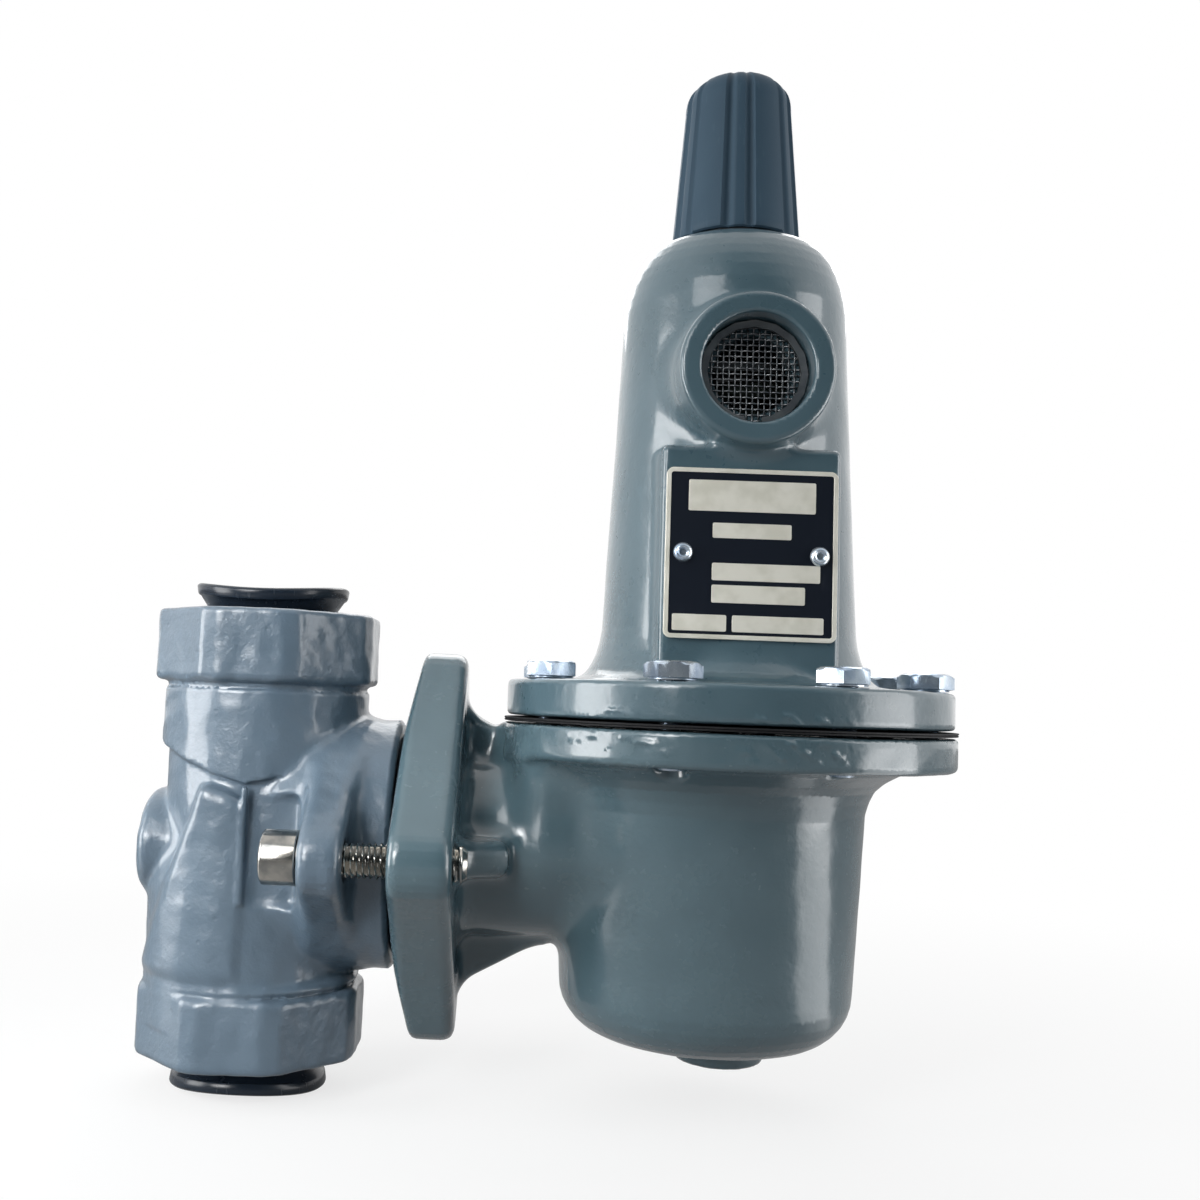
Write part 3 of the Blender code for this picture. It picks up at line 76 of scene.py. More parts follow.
class Wire:
    # One socket of a node tree. Sums on it add Math nodes, and make adds any other node.
    def __init__(self, tree, socket=None):
        self.tree = tree
        self.socket = socket

    def make(self, kind, settings=None, inputs=None, output=0):
        made = self.tree.nodes.new(kind)
        for name, value in (settings or {}).items():
            setattr(made, name, value)
        for name, value in (inputs or {}).items():
            if isinstance(value, Wire):
                self.tree.links.new(value.socket, made.inputs[name])
            else:
                made.inputs[name].default_value = value
        return Wire(self.tree, made.outputs[output])

    def other(self, output):  # another output of the same node
        return Wire(self.tree, self.socket.node.outputs[output])

    def math(self, operation, *values):
        return self.make("ShaderNodeMath", {"operation": operation}, dict(enumerate(values)))

    def __add__(self, value):
        return self.math("ADD", self, value)

    def __sub__(self, value):
        return self.math("SUBTRACT", self, value)

    def __rsub__(self, value):
        return self.math("SUBTRACT", value, self)

    def __mul__(self, value):
        return self.math("MULTIPLY", self, value)

    __radd__ = __add__
    __rmul__ = __mul__

    def __truediv__(self, value):
        return self.math("DIVIDE", self, value)

    def most(self, value):
        return self.math("MAXIMUM", self, value)

    def step(self, low, high):  # 0 below low, 1 above high, smooth between
        return self.make(
            "ShaderNodeMapRange",
            {"interpolation_type": "SMOOTHSTEP"},
            {"Value": self, "From Min": low, "From Max": high},
        )

    def blend(self, low, high):  # from colour low to colour high as this goes from 0 to 1
        sockets = {0: self, 6: low, 7: high}
        return self.make("ShaderNodeMix", {"data_type": "RGBA"}, sockets, output=2)

    def noise(self, scale, detail=3, roughness=0.5):
        sockets = {"Vector": self, "Scale": scale, "Detail": detail, "Roughness": roughness}
        return self.make("ShaderNodeTexNoise", None, sockets, "Fac")

    def cells(self, scale):
        sockets = {"Vector": self, "Scale": scale}
        return self.make("ShaderNodeTexVoronoi", None, sockets, "Distance")

    def stretch(self, scale):
        sockets = {"Vector": self, "Scale": scale}
        return self.make("ShaderNodeMapping", None, sockets)

    def bump(self, height, strength, reach):  # over the bump before it, where self is one
        sockets = {"Height": height, "Strength": strength, "Distance": reach}
        if self.socket.name == "Normal":
            sockets["Normal"] = self
        return self.make("ShaderNodeBump", None, sockets)

    def parts(self):
        made = self.make("ShaderNodeSeparateXYZ", None, {0: self}, "X")
        return made, made.other("Y"), made.other("Z")


def colour(red, green, blue):  # an sRGB colour from 0 to 255, as linear light
    share = np.array([red, green, blue]) / 255
    linear = np.where(share < 0.04045, share / 12.92, ((share + 0.055) / 1.055) ** 2.4)
    return (*linear.tolist(), 1.0)


def newFinish(name, fixed):
    # A new material: what is the same all over goes on the shader's own sockets.
    made = bpy.data.materials.new(name)
    made.use_nodes = True
    tree = made.node_tree
    shader = tree.nodes["Principled BSDF"]
    for socket, value in fixed.items():
        shader.inputs[socket].default_value = value
    place = Wire(tree).make("ShaderNodeTexCoord", output="Object")

    def join(**links):
        for socket, wire in links.items():
            tree.links.new(wire.socket, shader.inputs[socket.replace("_", " ")])

    return made, place, join


enamel = dict(
    roughness=0.20,
    cloudScale=45,
    pitScale=240,
    peelScale=420,
    grainScale=2300,
    peel=0.22,
    grain=0.05,
)


def enamelFinish(name, paint, lumps, lumpScale, dull=0.0):
    # Sprayed enamel over a casting: orange peel, fine grain, and lumps of the sand mould under it.
    deep, mid, worn = (colour(*(part + shift for part in paint)) for shift in (-14, 0, 16))
    made, place, join = newFinish(
        name, {"Coat Weight": 0.8 - dull, "Coat Roughness": 0.10 + dull * 0.6, "Specular IOR Level": 0.5}
    )
    cloud = place.noise(enamel["cloudScale"], 4)
    peel = place.noise(enamel["peelScale"], 2)
    grain = place.noise(enamel["grainScale"], 2)
    lump = place.noise(lumpScale, 4, 0.6)
    pit = place.cells(enamel["pitScale"]).step(0.03, 0.16)
    tone = cloud.step(0.3, 0.7).blend(deep, worn)
    tone = (grain * 0.25 + 0.62).blend(tone, mid)
    bump = place.bump(lump, lumps, 0.0009)
    bump = bump.bump(pit, lumps * 0.8, 0.0002)
    bump = bump.bump(peel, enamel["peel"], 0.0004)
    bump = bump.bump(grain, enamel["grain"], 0.0001)
    join(
        Base_Color=tone,
        Roughness=enamel["roughness"] + dull + peel * 0.08 + cloud * 0.10,
        Normal=bump,
    )
    return made


def plasticFinish(name, base, light, roughness, grainScale, grain, gloss=0.4):
    # Moulded plastic: a fine spark grain, slight flow tone and scuffs.
    made, place, join = newFinish(name, {"Specular IOR Level": gloss})
    cloud = place.noise(60, 3)
    spark = place.noise(grainScale, 2)
    scuff = place.stretch((1, 1, 0.15)).noise(900, 3).step(0.62, 0.72)
    join(
        Base_Color=(cloud * 0.5 + scuff * 0.25).blend(colour(*base), colour(*light)),
        Roughness=roughness + spark * 0.12 + scuff * 0.1,
        Normal=place.bump(spark, grain, 0.00015),
    )
    return made


def metalFinish(name, base, tint, roughness, brush, brushScale, grain, metallic=1.0):
    # Plated or turned metal: tone from tarnish, brushed bump and small nicks.
    made, place, join = newFinish(name, {"Metallic": metallic})
    cloud = place.noise(180, 3)
    lines = place.stretch(brush).noise(brushScale, 3)
    nicks = place.cells(700).step(0.02, 0.10)
    bump = place.bump(lines, grain, 0.0001)
    join(
        Base_Color=cloud.step(0.35, 0.7).blend(colour(*base), colour(*tint)),
        Roughness=roughness + cloud * 0.12 + (1 - nicks) * 0.15,
        Normal=bump.bump(nicks, 0.15, 0.0001),
    )
    return made


def rubberFinish(name, base, light, roughness):
    # Black rubber over cloth: a fine weave, dust and a dull skin.
    made, place, join = newFinish(name, {"Specular IOR Level": 0.35})
    x, y, z = place.parts()
    weave = x.math("SINE", x * 5200) * y.math("SINE", y * 5200)
    dust = place.noise(260, 4)
    bump = place.bump(weave, 0.2, 0.0001)
    join(
        Base_Color=dust.step(0.5, 0.8).blend(colour(*base), colour(*light)),
        Roughness=roughness + dust * 0.15,
        Normal=bump.bump(dust, 0.2, 0.0003),
    )
    return made


# Colours are sRGB from 0 to 255: the base, and the tone that clouds, dust or tarnish give it
plastics = dict(  # then roughness, scale and depth of the grain, and gloss
    slate_plastic=((56, 78, 95), (76, 99, 115), 0.46, 2600, 0.12, 0.2),
    charcoal_plastic=((24, 32, 42), (38, 48, 60), 0.17, 2200, 0.06),
)
metals = dict(  # then roughness, stretch, scale and depth of the brushing, and how metallic it is
    bright_zinc=((204, 214, 224), (168, 186, 208), 0.18, (1, 1, 1), 900, 0.05, 0.8),
    nickel_steel=((190, 186, 178), (140, 140, 138), 0.10, (1, 1, 1), 1400, 0.08),
    turned_aluminium=((190, 192, 194), (170, 172, 176), 0.32, (1, 1, 14), 700, 0.2),
    plain_steel=((150, 152, 154), (120, 122, 126), 0.36, (1, 1, 6), 900, 0.2),
    spring_steel=((84, 92, 84), (60, 66, 62), 0.42, (1, 1, 1), 800, 0.15, 0.6),
    nameplate_metal=((246, 243, 230), (230, 227, 212), 0.34, (1, 1, 30), 300, 0.1, 0.12),
)
rubbers = dict(  # then roughness
    fabric_rubber=((14, 15, 18), (30, 31, 34), 0.6),
    nitrile=((18, 18, 20), (34, 34, 36), 0.5),
)
finishes = {"enamel": enamelFinish("enamel_case", (79, 103, 113), 0.22, 130)}
for newOne, looks in ((plasticFinish, plastics), (metalFinish, metals), (rubberFinish, rubbers)):
    for name, look in looks.items():
        finishes[name] = newOne(name, *look)
# The body's enamel is painted lighter than the casing's. This is painted light for the brighter light
# that falls on the barrel.
bodyEnamelPaintedLighter = enamelFinish("enamel_body", (91, 109, 124), 0.45, 230, 0.07)
casingEnamel = enamelFinish("enamel_casing", (83, 106, 115), 0.16, 150, -0.03)
slots = {part["node"]: part["material_slot"] for part in frame["record"]["subparts"]}
for name, piece in nodes.items():
    piece.data.materials.clear()
    piece.data.materials.append(finishes[slots[name]])
print("finishes:", len(finishes))


# Shapes from fields: a field is the distance to a surface in millimetres, below 0 inside it

def joined(a, b, fillet=1.0):
    # Union: the lesser field, less a quarter of fillet where both are the same.
    near = np.clip(1 - np.abs(a - b) / fillet, 0, 1)
    return np.minimum(a, b) - near * near * fillet / 4


def common(a, b, edge=1.0):
    return -joined(-a, -b, edge)  # what lies inside both, with its edge rounded


def without(a, b, edge=1.0):
    return common(a, -b, edge)


def slab(along, low, high):
    return np.abs(along - (low + high) / 2) - (high - low) / 2


def rod(across, along, radius, low, high, edge=1.0):
    # A round bar: inside its radius and between its two ends.
    return common(across - radius, slab(along, low, high), edge)


def block(x, y, z, low, high, edge):
    # A box with edges rounded by that radius: distance to the smaller box, less the radius.
    gaps = [slab(v, a + edge, b - edge) for v, a, b in zip((x, y, z), low, high)]
    outer = np.sqrt(sum(np.maximum(g, 0) ** 2 for g in gaps))
    return outer + np.minimum(np.maximum(np.maximum(gaps[0], gaps[1]), gaps[2]), 0) - edge


def outlined(x, y, outline, axis=False):
    # Distance to a closed outline in a plane. With axis, an edge that lies on x = 0 is no surface.
    corners = np.array(outline, float)
    least = np.full(x.shape, np.inf)
    inside = np.zeros(x.shape, bool)
    for (ax, ay), (bx, by) in zip(corners, np.roll(corners, -1, 0)):
        ex, ey = bx - ax, by - ay
        if abs(ex) + abs(ey) < 1e-9:
            continue
        if not (axis and ax == 0 and bx == 0):
            t = np.clip(((x - ax) * ex + (y - ay) * ey) / (ex * ex + ey * ey), 0, 1)
            least = np.minimum(least, (x - ax - ex * t) ** 2 + (y - ay - ey * t) ** 2)
        if ey:
            inside ^= ((ay > y) != (by > y)) & (x < ax + (y - ay) * ex / ey)
    return np.sqrt(least) * np.where(inside, -1, 1)


def arc(x, y, radius, start, end, count):
    angles = np.linspace(start, end, count)
    return [(x + radius * math.cos(a), y + radius * math.sin(a)) for a in angles]


def waves(points, length, seed, count=9):
    # Unevenness of a casting: sines in random directions, about length apart.
    draw = np.random.default_rng(seed)
    ways = draw.normal(size=(count, 3))
    ways /= np.linalg.norm(ways, axis=1)[:, None]
    lengths = length * draw.uniform(0.6, 1.6, count)
    phases = draw.uniform(0, turn, count)
    return np.sin(points @ (ways / lengths[:, None]).T * turn + phases).sum(1) / math.sqrt(count)


def slopeOf(field, points, h):
    # The field's slope by central differences.
    steps = np.eye(3) * h
    return np.stack([(field(points + s) - field(points - s)) / (2 * h) for s in steps], 1)


def skin(field, low, high, cell):
    # The surface where the field is 0, as quads: one point in each lattice cell that it crosses, one
    # quad round each lattice edge that it cuts. The points then slide down the slope onto it.
    stride = 4
    low = np.array(low, float)
    blocks = np.ceil((np.array(high) - low) / (cell * stride)).astype(int)
    counts = blocks * stride + 1
    axes = [low[i] + cell * np.arange(counts[i]) for i in range(3)]

    def lattice(some):
        return np.stack(np.meshgrid(*some, indexing="ij"), -1).reshape(-1, 3)

    far = field(lattice([a[::stride] for a in axes])).reshape(blocks + 1)
    for i in range(3):
        far = np.repeat(far, stride, i)
    far = far[tuple(slice(0, c) for c in counts)]
    values = np.where(far < 0, -1e3, 1e3)
    near = np.abs(far) < cell * stride * 1.6 + 1.5
    spots = np.argwhere(near)
    values[near] = np.concatenate([field(part) for part in np.array_split(low + spots * cell, 6)])

    solid = values < 0
    sums = np.zeros((*(counts - 1), 3))
    hits = np.zeros(counts - 1)
    edges = []
    for a in range(3):
        b, c = (a + 1) % 3, (a + 2) % 3
        first = tuple(slice(0, -1) if i == a else slice(None) for i in range(3))
        second = tuple(slice(1, None) if i == a else slice(None) for i in range(3))
        cut = np.argwhere(solid[first] != solid[second])
        inner = (cut[:, b] > 0) & (cut[:, c] > 0)
        inner &= (cut[:, b] < counts[b] - 1) & (cut[:, c] < counts[c] - 1)
        cut = cut[inner]
        start = values[first][tuple(cut.T)]
        end = values[second][tuple(cut.T)]
        crossing = cut.astype(float)
        crossing[:, a] += start / (start - end)
        ring = []
        for back, side in ((1, 1), (0, 1), (0, 0), (1, 0)):
            spot = cut.copy()
            spot[:, b] -= back
            spot[:, c] -= side
            flat = np.ravel_multi_index(spot.T, counts - 1)
            ring.append(flat)
            for i in range(3):
                sums[..., i].flat += np.bincount(flat, crossing[:, i], hits.size)
            hits.flat += np.bincount(flat, minlength=hits.size)
        ring = np.stack(ring, 1)
        edges.append(np.where((start < 0)[:, None], ring, ring[:, ::-1]))
    quads = np.concatenate(edges)
    used, quads = np.unique(quads, return_inverse=True)
    quads = quads.reshape(-1, 4)
    points = low + cell * sums.reshape(-1, 3)[used] / hits.reshape(-1)[used][:, None]
    for share in (1, 1, 0.7):
        slope = slopeOf(field, points, cell * 0.2)
        move = slope * (field(points) / np.maximum((slope**2).sum(1), 0.2))[:, None]
        reach = np.linalg.norm(move, axis=1)[:, None]
        points -= move * share * np.minimum(1, cell * 0.45 / np.maximum(reach, 1e-9))
    normals = slopeOf(field, points, cell * 0.15)
    return points, quads, normals / np.maximum(np.linalg.norm(normals, axis=1), 1e-9)[:, None]


def meshOf(name, points, faces, normals=None):
    # A new piece from whole arrays. faces is a list of arrays, one row for each face.
    made = bpy.data.meshes.new(name)
    made.vertices.add(len(points))
    made.vertices.foreach_set("co", np.asarray(points, np.float32).ravel())
    sizes = np.concatenate([np.full(len(f), f.shape[1]) for f in faces])
    made.loops.add(int(sizes.sum()))
    made.loops.foreach_set("vertex_index", np.concatenate([f.ravel() for f in faces]).astype(np.int32))
    made.polygons.add(len(sizes))
    made.polygons.foreach_set("loop_start", (np.cumsum(sizes) - sizes).astype(np.int32))
    made.polygons.foreach_set("use_smooth", np.ones(len(sizes), bool))
    made.update(calc_edges=True)
    made.validate()
    if normals is not None:
        made.normals_split_custom_set_from_vertices(normals.tolist())
    piece = bpy.data.objects.new(name, made)
    bpy.context.scene.collection.objects.link(piece)
    return piece


def fit(piece, body, slotName, *replaced, finish=None):
    # The finish, the body that it rides on (None for one that bends) and the nodes it stands for.
    piece.data.materials.append(finish or finishes[slotName])
    if body:
        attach(piece, body)
    if replaced:
        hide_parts(*replaced)


def casting(name, field, sizes, node, finish=None):
    cell = sizes["cell"] * 1
    points, quads, normals = skin(field, *sizes["box"], cell)
    piece = meshOf(name, points * mm, [quads], normals)
    fit(piece, "housing", "enamel", node, finish=finish)
    print(name, "quads:", len(quads))


# Valve body. A bar or a passage is its radius, start and end

body = dict(
    length=105,
    neckHeight=50.1,
    flats=(26.0, 25.35),  # from the axis to the square and to the diagonal ones
    corners=27.0,
    upperHub=87.6,
    lowerHub=16.7,
    collar=(25.5, 16.9, 19.6),
    groove=(24.1, 86.1, 87.6),
    barrel=(24.6, 40, 96),
    waist=(22.9, 8, 96),
    ridge=(0.7, 64.5),
    sag=(0.25, 0.0035),
    bulge=24.4,
    bulgePlace=(-2.8, 1.4),
    foot=(-1.6, 1.0),
    footRadius=24.0,
    footEnds=(8, 39),
    panelGap=3.0,
    panelLow=20,
    panelSide=(-10.4, 0.36, 62),  # x at a height, and how much it moves with height
    boss=(12.6, -26.7, -8),
    bossHeight=48.6,
    rib=(0.8, 38, 64),
    ribPlace=24.9,
    pocket=((2.1, 23.0, 37.0), (13.8, 40, 62.5)),
    neckFace=34.3,
    ear=(16.0, 25.7),
    earLobe=8.8,
    earMiddle=28.5,
    screwOffset=37.0,
    screwHole=(4.25, 10, 30),
    port=15.9,
    portDepth=17.0,
    inletPlace=-11.5,
    inletWay=(10, 15, 61.2),
    outletPlace=9.5,
    outletWay=(11, 64.1, 90),
    chamber=(20, 4.5, 40),
    seatHole=(8.2, -4.5, 6.5),
    cell=0.8,
    box=((-31, -48, -2), (37, 48, 107)),
)
# the neck's outline: radius and x
neckLine = [(0, -11), (17.8, -7), (25.4, 1), (28.6, 8), (29.6, 16)]
neckLine += [(29.6, 33.1), (28.4, 34.3), (0, 34.3)]


def earOutline():
    # A round lobe about each screw, and a wide round between them. Their edges meet at slope.
    offset, lobe, middle = body["screwOffset"], body["earLobe"], body["earMiddle"]
    slope = math.acos((middle - lobe) / offset)
    points = []
    for side, way in ((1, 0), (-1, math.pi)):
        points += arc(side * offset, 0, lobe, way - slope, way + slope, 12)
        points += arc(0, 0, middle, way + slope, way + math.pi - slope, 10)
    return points


earLine = earOutline()


def hubField(r, octagon, z, low, high):
    # An octagon with worn corners between two heights.
    side = common(octagon, r - body["corners"], 0.3)
    return common(side, slab(z, low, high), 2.0)


def bodyField(points):
    x, y, z = points.T
    r = np.hypot(x, y)
    square, diagonal = body["flats"]
    octagon = np.maximum(np.abs(x), np.abs(y)) - square
    octagon = common(octagon, (np.abs(x) + np.abs(y)) * math.sqrt(0.5) - diagonal, 0.7)
    upper = hubField(r, octagon, z, body["upperHub"], body["length"])
    lower = hubField(r, octagon, z, 0, body["lowerHub"])
    lower = np.minimum(lower, rod(r, z, *body["collar"], 2.6))

    # the outlet end of the barrel stops on a sagging line, with a ledge over the waist
    ridgeX, ridgeZ = body["ridge"]
    slant, bend = body["sag"]
    beside = np.abs(x - ridgeX)
    ledge = ridgeZ + slant * beside + bend * beside**2
    upperBarrel = common(rod(r, z, *body["barrel"]), (ledge - z) * 0.95, 0.8)
    shape = joined(rod(r, z, *body["waist"]), upperBarrel, 0.9)

    # under it the wall of the inlet passage: a round foot, a raised panel with slanted sides and a
    # round boss that faces away from the neck
    bulgeX, bulgeY = body["bulgePlace"]
    bulge = np.hypot(x - bulgeX, np.abs(y) - bulgeY) - body["bulge"]
    footX, footY = body["foot"]
    footLow, footTop = body["footEnds"]
    footR = np.hypot(x - footX, np.abs(y) - footY)
    foot = np.hypot(footR, np.maximum(z - footTop, 0) * 1.1) - body["footRadius"]
    sideX, sideSlope, sideZ = body["panelSide"]
    side = (sideX - sideSlope * (sideZ - z) - x) * 0.94
    panel = common(bulge, common(side, x - ridgeX - 0.4, 0.6), 2.2)
    panel = common(panel, np.maximum(z - ledge + body["panelGap"], body["panelLow"] - z), 3.2)
    boss = rod(np.hypot(y * 0.8, z - body["bossHeight"]), x, *body["boss"], 3.0)
    shape = joined(shape, common(foot, footLow - z), 1.8)
    shape = joined(joined(shape, boss, 1.6), panel, 1.4)
    rib = rod(np.hypot(x - ridgeX, np.abs(y) - body["ribPlace"]), z, *body["rib"], 0.8)
    shape = joined(shape, rib, 1.3)

    # the neck, narrower from front to back where it leaves the barrel
    dz = z - body["neckHeight"]
    neckR = np.hypot(y, dz)
    narrow = 1 + 0.12 * np.clip((15 - x) / 14, 0, 1)
    shape = joined(shape, outlined(np.hypot(y * narrow, dz), x, neckLine, axis=True), 2.0)
    shape = without(shape, block(x, np.abs(y), z, *body["pocket"], 2.4), 1.3)
    ear = common(outlined(y, dz, earLine), slab(x, *body["ear"]), 3.0)
    shape = joined(shape, ear, 4.2)
    groove, grooveLow, grooveHigh = body["groove"]
    shape = without(shape, np.maximum(slab(z, grooveLow, grooveHigh), groove - r), 1.0)
    shape = joined(joined(shape, upper, 0.9), lower, 0.9)
    shape = shape + 0.08 * waves(points, 7, 3) + 0.06 * waves(points, 19, 4)
    shape = common(shape, slab(z, 0, body["length"]), 1.0)
    shape = common(shape, x - body["neckFace"], 1.0)

    # ports, passages and screw holes. A port is cut from beyond the end, so that it is open
    depth, length = body["portDepth"], body["length"]
    ports = np.minimum(slab(z, -5, depth), slab(z, length - depth, length + 10))
    shape = without(shape, np.maximum(r - body["port"], ports), 1.0)
    inletWay = rod(np.hypot(x - body["inletPlace"], y), z, *body["inletWay"])
    outletWay = rod(np.hypot(x - body["outletPlace"], y), z, *body["outletWay"])
    chamber = rod(neckR, x, *body["chamber"])
    seatHole = rod(neckR, x, *body["seatHole"])
    ways = np.minimum(np.minimum(inletWay, outletWay), np.minimum(chamber, seatHole))
    screwHole = rod(np.hypot(np.abs(y) - body["screwOffset"], dz), x, *body["screwHole"])
    return without(without(shape, ways, 1.0), screwHole, 0.8)


casting("body_casting", bodyField, body, "valve_body", bodyEnamelPaintedLighter)


# Casing with its bowl, flange, mounting plate and lever housing

casing = dict(
    bowlAxis=108.5,
    gasket=80.7,
    gasketStart=55.5,
    flangeRadius=54.0,
    flangeBase=72.7,
    scars=(75.0, 79.6),
    boss=(10.6, 2, 12),
    housing=((62.2, -23.8, 44.1), (108.5, 23.8, 76.7)),
    neck=(21, 42, 108.5),
    faceLeft=34.9,
    faceRight=49.2,
    draft=(0.19, 26.5),
    lobe=9.3,
    offset=body["screwOffset"],
    waist=33.6,
    rib=(12.6, 33.4, 4.1),  # from and to, out from the neck's axis, and half its thickness
    uprightRib=(20, 22),  # length and foot
    sideRib=(11.5, 26.5),
    mouth=(39, 73.7, 85),
    bore=(16, 30, 108.5),
    recess=(24, 30, 39.1),
    pocket=((66.4, -19.6, 52.1), (108.5, 19.6, 70.2)),
    pad=((76.0, -11.5, 18.8), (80.6, 11.5, 32.9)),
    bodyHole=(4.25, 30, 52),
    screwCircle=46.9,
    screwHole=3.5,
    drilled=(70, 82),
    cell=0.95,
    box=((33, -57, 0), (169, 57, 99)),
)


def lobedOutline(offset, lobe, waist):
    # Four lobes at right angles, joined by sides that curve in a little.
    points = []
    for quarter in range(4):
        way = quarter * turn / 4
        x, y = offset * math.cos(way), offset * math.sin(way)
        near = arc(x, y, lobe, way - turn / 8, way + turn / 8, 9)
        points += near
        start = np.array(near[-1])
        half = np.array([math.cos(way + turn / 8), math.sin(way + turn / 8)])
        end = offset * np.array([-math.sin(way), math.cos(way)]) + lobe * half
        control = 2 * waist * half - (start + end) / 2
        for t in (0.17, 0.33, 0.5, 0.67, 0.83):
            points.append((1 - t) ** 2 * start + 2 * t * (1 - t) * control + t**2 * end)
    return points


lobes = lobedOutline(casing["offset"], casing["lobe"], casing["waist"])
# outlines of the bowl and its hollow: radius and height
bowlLine = [(0, 76.7), (45.5, 76.7), (45.5, 72.1), (43.6, 70.6), (41.4, 69.2)]
bowlLine += [(39.3, 67.3), (38.1, 64.8), (37.2, 61.7), (34.7, 20)]
bowlLine += arc(22.7, 20, 12, 0, -turn / 4, 9)[1:] + [(0, 8)]
bowlHollow = [(0, 76.5), (34.4, 76.5), (33.4, 67.2), (30.9, 21.9)]
bowlHollow += arc(20.8, 21.9, 10.1, 0, -turn / 4, 6)[1:] + [(0, 11.8)]


def gusset(x, out, side, length, foot):
    # A rib along the neck, behind the mounting plate.
    back = casing["faceRight"]
    inner, outer, half = casing["rib"]
    line = [(back - 4, inner), (back + length, inner), (back + length, foot)]
    line += [(back - 1, outer), (back - 4, outer)]
    return common(outlined(x, out, line), np.abs(side) - half, 3.4)


def drilled(shape, points, low, high):
    # Eight holes on the screw circle, folded onto one.
    x, y, z = points.T
    r = np.hypot(x - springAxis, y)
    way = (np.arctan2(y, x - springAxis) % (turn / 8)) - turn / 16
    holes = np.hypot(r * np.cos(way) - casing["screwCircle"], r * np.sin(way)) - casing["screwHole"]
    return without(shape, np.maximum(holes, slab(z, low, high)), 0.8)


def rimScars(points, z, low, high):
    # Drips and knocks in the paint of a rim, in two patches that face the front.
    x, y = points[:, 0], points[:, 1]
    patch = sum(np.exp(-(((x - place) / width) ** 4)) for place, width in ((82, 10), (118, 11)))
    patch = patch * (y < -20) * np.clip((z - low) * 2, 0, 1) * np.clip((high - z) * 2, 0, 1)
    streak = waves(points * (0.35, 0.35, 1), 1.5, 12)
    return -0.26 * patch * np.clip(streak - 0.5, 0, 1.2)


def casingField(points):
    x, y, z = points.T
    r = np.hypot(x - springAxis, y)
    bowlR = np.hypot(x - casing["bowlAxis"], y)
    dz = z - body["neckHeight"]
    neckR = np.hypot(y, dz)
    faceLeft, faceRight = casing["faceLeft"], casing["faceRight"]
    flange = rod(r, z, casing["flangeRadius"], casing["flangeBase"], casing["gasket"], 1.5)
    flange = flange + rimScars(points, z, *casing["scars"])
    bowl = outlined(bowlR, z, bowlLine, axis=True)
    shape = joined(joined(bowl, flange, 3.0), rod(r, z, *casing["boss"], 1.6), 3.2)
    housing = block(x, y, z, *casing["housing"], 8)
    shape = joined(shape, joined(housing, rod(neckR, x, *casing["neck"]), 6), 5)
    mount = common(outlined(y, dz, lobes), slab(x, faceLeft, faceRight), 3.4)
    slope, start = casing["draft"]
    mount = common(mount, (faceLeft + slope * (np.abs(dz) - start) - x) * 0.98, 2.0)
    upright = gusset(x, np.abs(dz), y, *casing["uprightRib"])
    beside = gusset(x, np.abs(y), dz, *casing["sideRib"])
    shape = joined(joined(shape, mount, 5), joined(upright, beside, 1), 4.5)
    shape = shape + 0.03 * waves(points, 11, 5) + 0.05 * waves(points, 27, 6)
    shape = without(shape, np.maximum(casing["gasket"] - z, casing["gasketStart"] - x), 0.8)
    shape = common(shape, faceLeft - x, 1.0)

    hollow = outlined(bowlR, z, bowlHollow, axis=True)
    mouth = rod(r, z, *casing["mouth"])
    bore = rod(neckR, x, *casing["bore"])
    recess = rod(neckR, x, *casing["recess"])
    pocket = block(x, y, z, *casing["pocket"], 1.2)
    inside = np.minimum(np.minimum(hollow, mouth), np.minimum(bore, np.minimum(recess, pocket)))
    shape = without(shape, inside, 1.0)
    shape = joined(shape, block(x, y, z, *casing["pad"], 0.6), 1.0)
    bodyHole = rod(np.hypot(np.abs(y) - casing["offset"], dz), x, *casing["bodyHole"])
    return drilled(without(shape, bodyHole, 0.8), points, *casing["drilled"])


casting("casing_casting", casingField, casing, "diaphragm_casing", casingEnamel)


# Spring case

case = dict(
    base=82.0,  # heights in its outlines, pad and vent are above this
    flangeRadius=53.4,
    flangeTop=8.9,
    scars=(0.4, 3.0),
    footRadius=38.6,
    flare=16,
    lowRadius=30.6,
    highRadius=27.4,
    shoulder=97.5,
    height=118.2,
    topRadius=17.0,
    topBore=(5.05, 105, 135),
    pad=((-20.2, -31.2, 5), (20.2, -14, 62.5)),
    ventHeight=79.5,
    vent=(17.4, 10, 37.2),
    ventBore=(12.5, 29.0, 40),
    ventWay=(9, 12, 40),
    drilled=(80, 93),
    cell=0.88,
    box=((57, -56, 80), (168, 56, 213)),
)


def quarterEllipse(x, y, wide, high, count):
    # Round (x, y), from the point above or below it to the point beside it.
    return [(x + wide * math.sin(a), y + high * math.cos(a)) for a in np.linspace(0, turn / 4, count)]


def caseOutline():
    # The neck, a dome, the tapered side and a foot that flares out: radius and height.
    top, high, low, foot = (case[k] for k in ("topRadius", "highRadius", "lowRadius", "footRadius"))
    shoulder, height, flare = case["shoulder"], case["height"], case["flare"]
    line = [(0, 128.7), (10.7, 128.7), (11.4, 127.9), (11.4, height)]
    line += quarterEllipse(top, shoulder, high - top, height - shoulder, 11)
    line += quarterEllipse(foot, case["flangeTop"] + flare, low - foot, -flare, 9)[::-1]
    return line + [(foot, 2), (0, 2)]


caseLine = caseOutline()
caseHollow = [(0, 108.7), (15.5, 108.7), (23.6, 95.5), (26.8, 17.4), (27.6, 11.4)]
caseHollow += [(38, 5), (39, -3), (0, -3)]


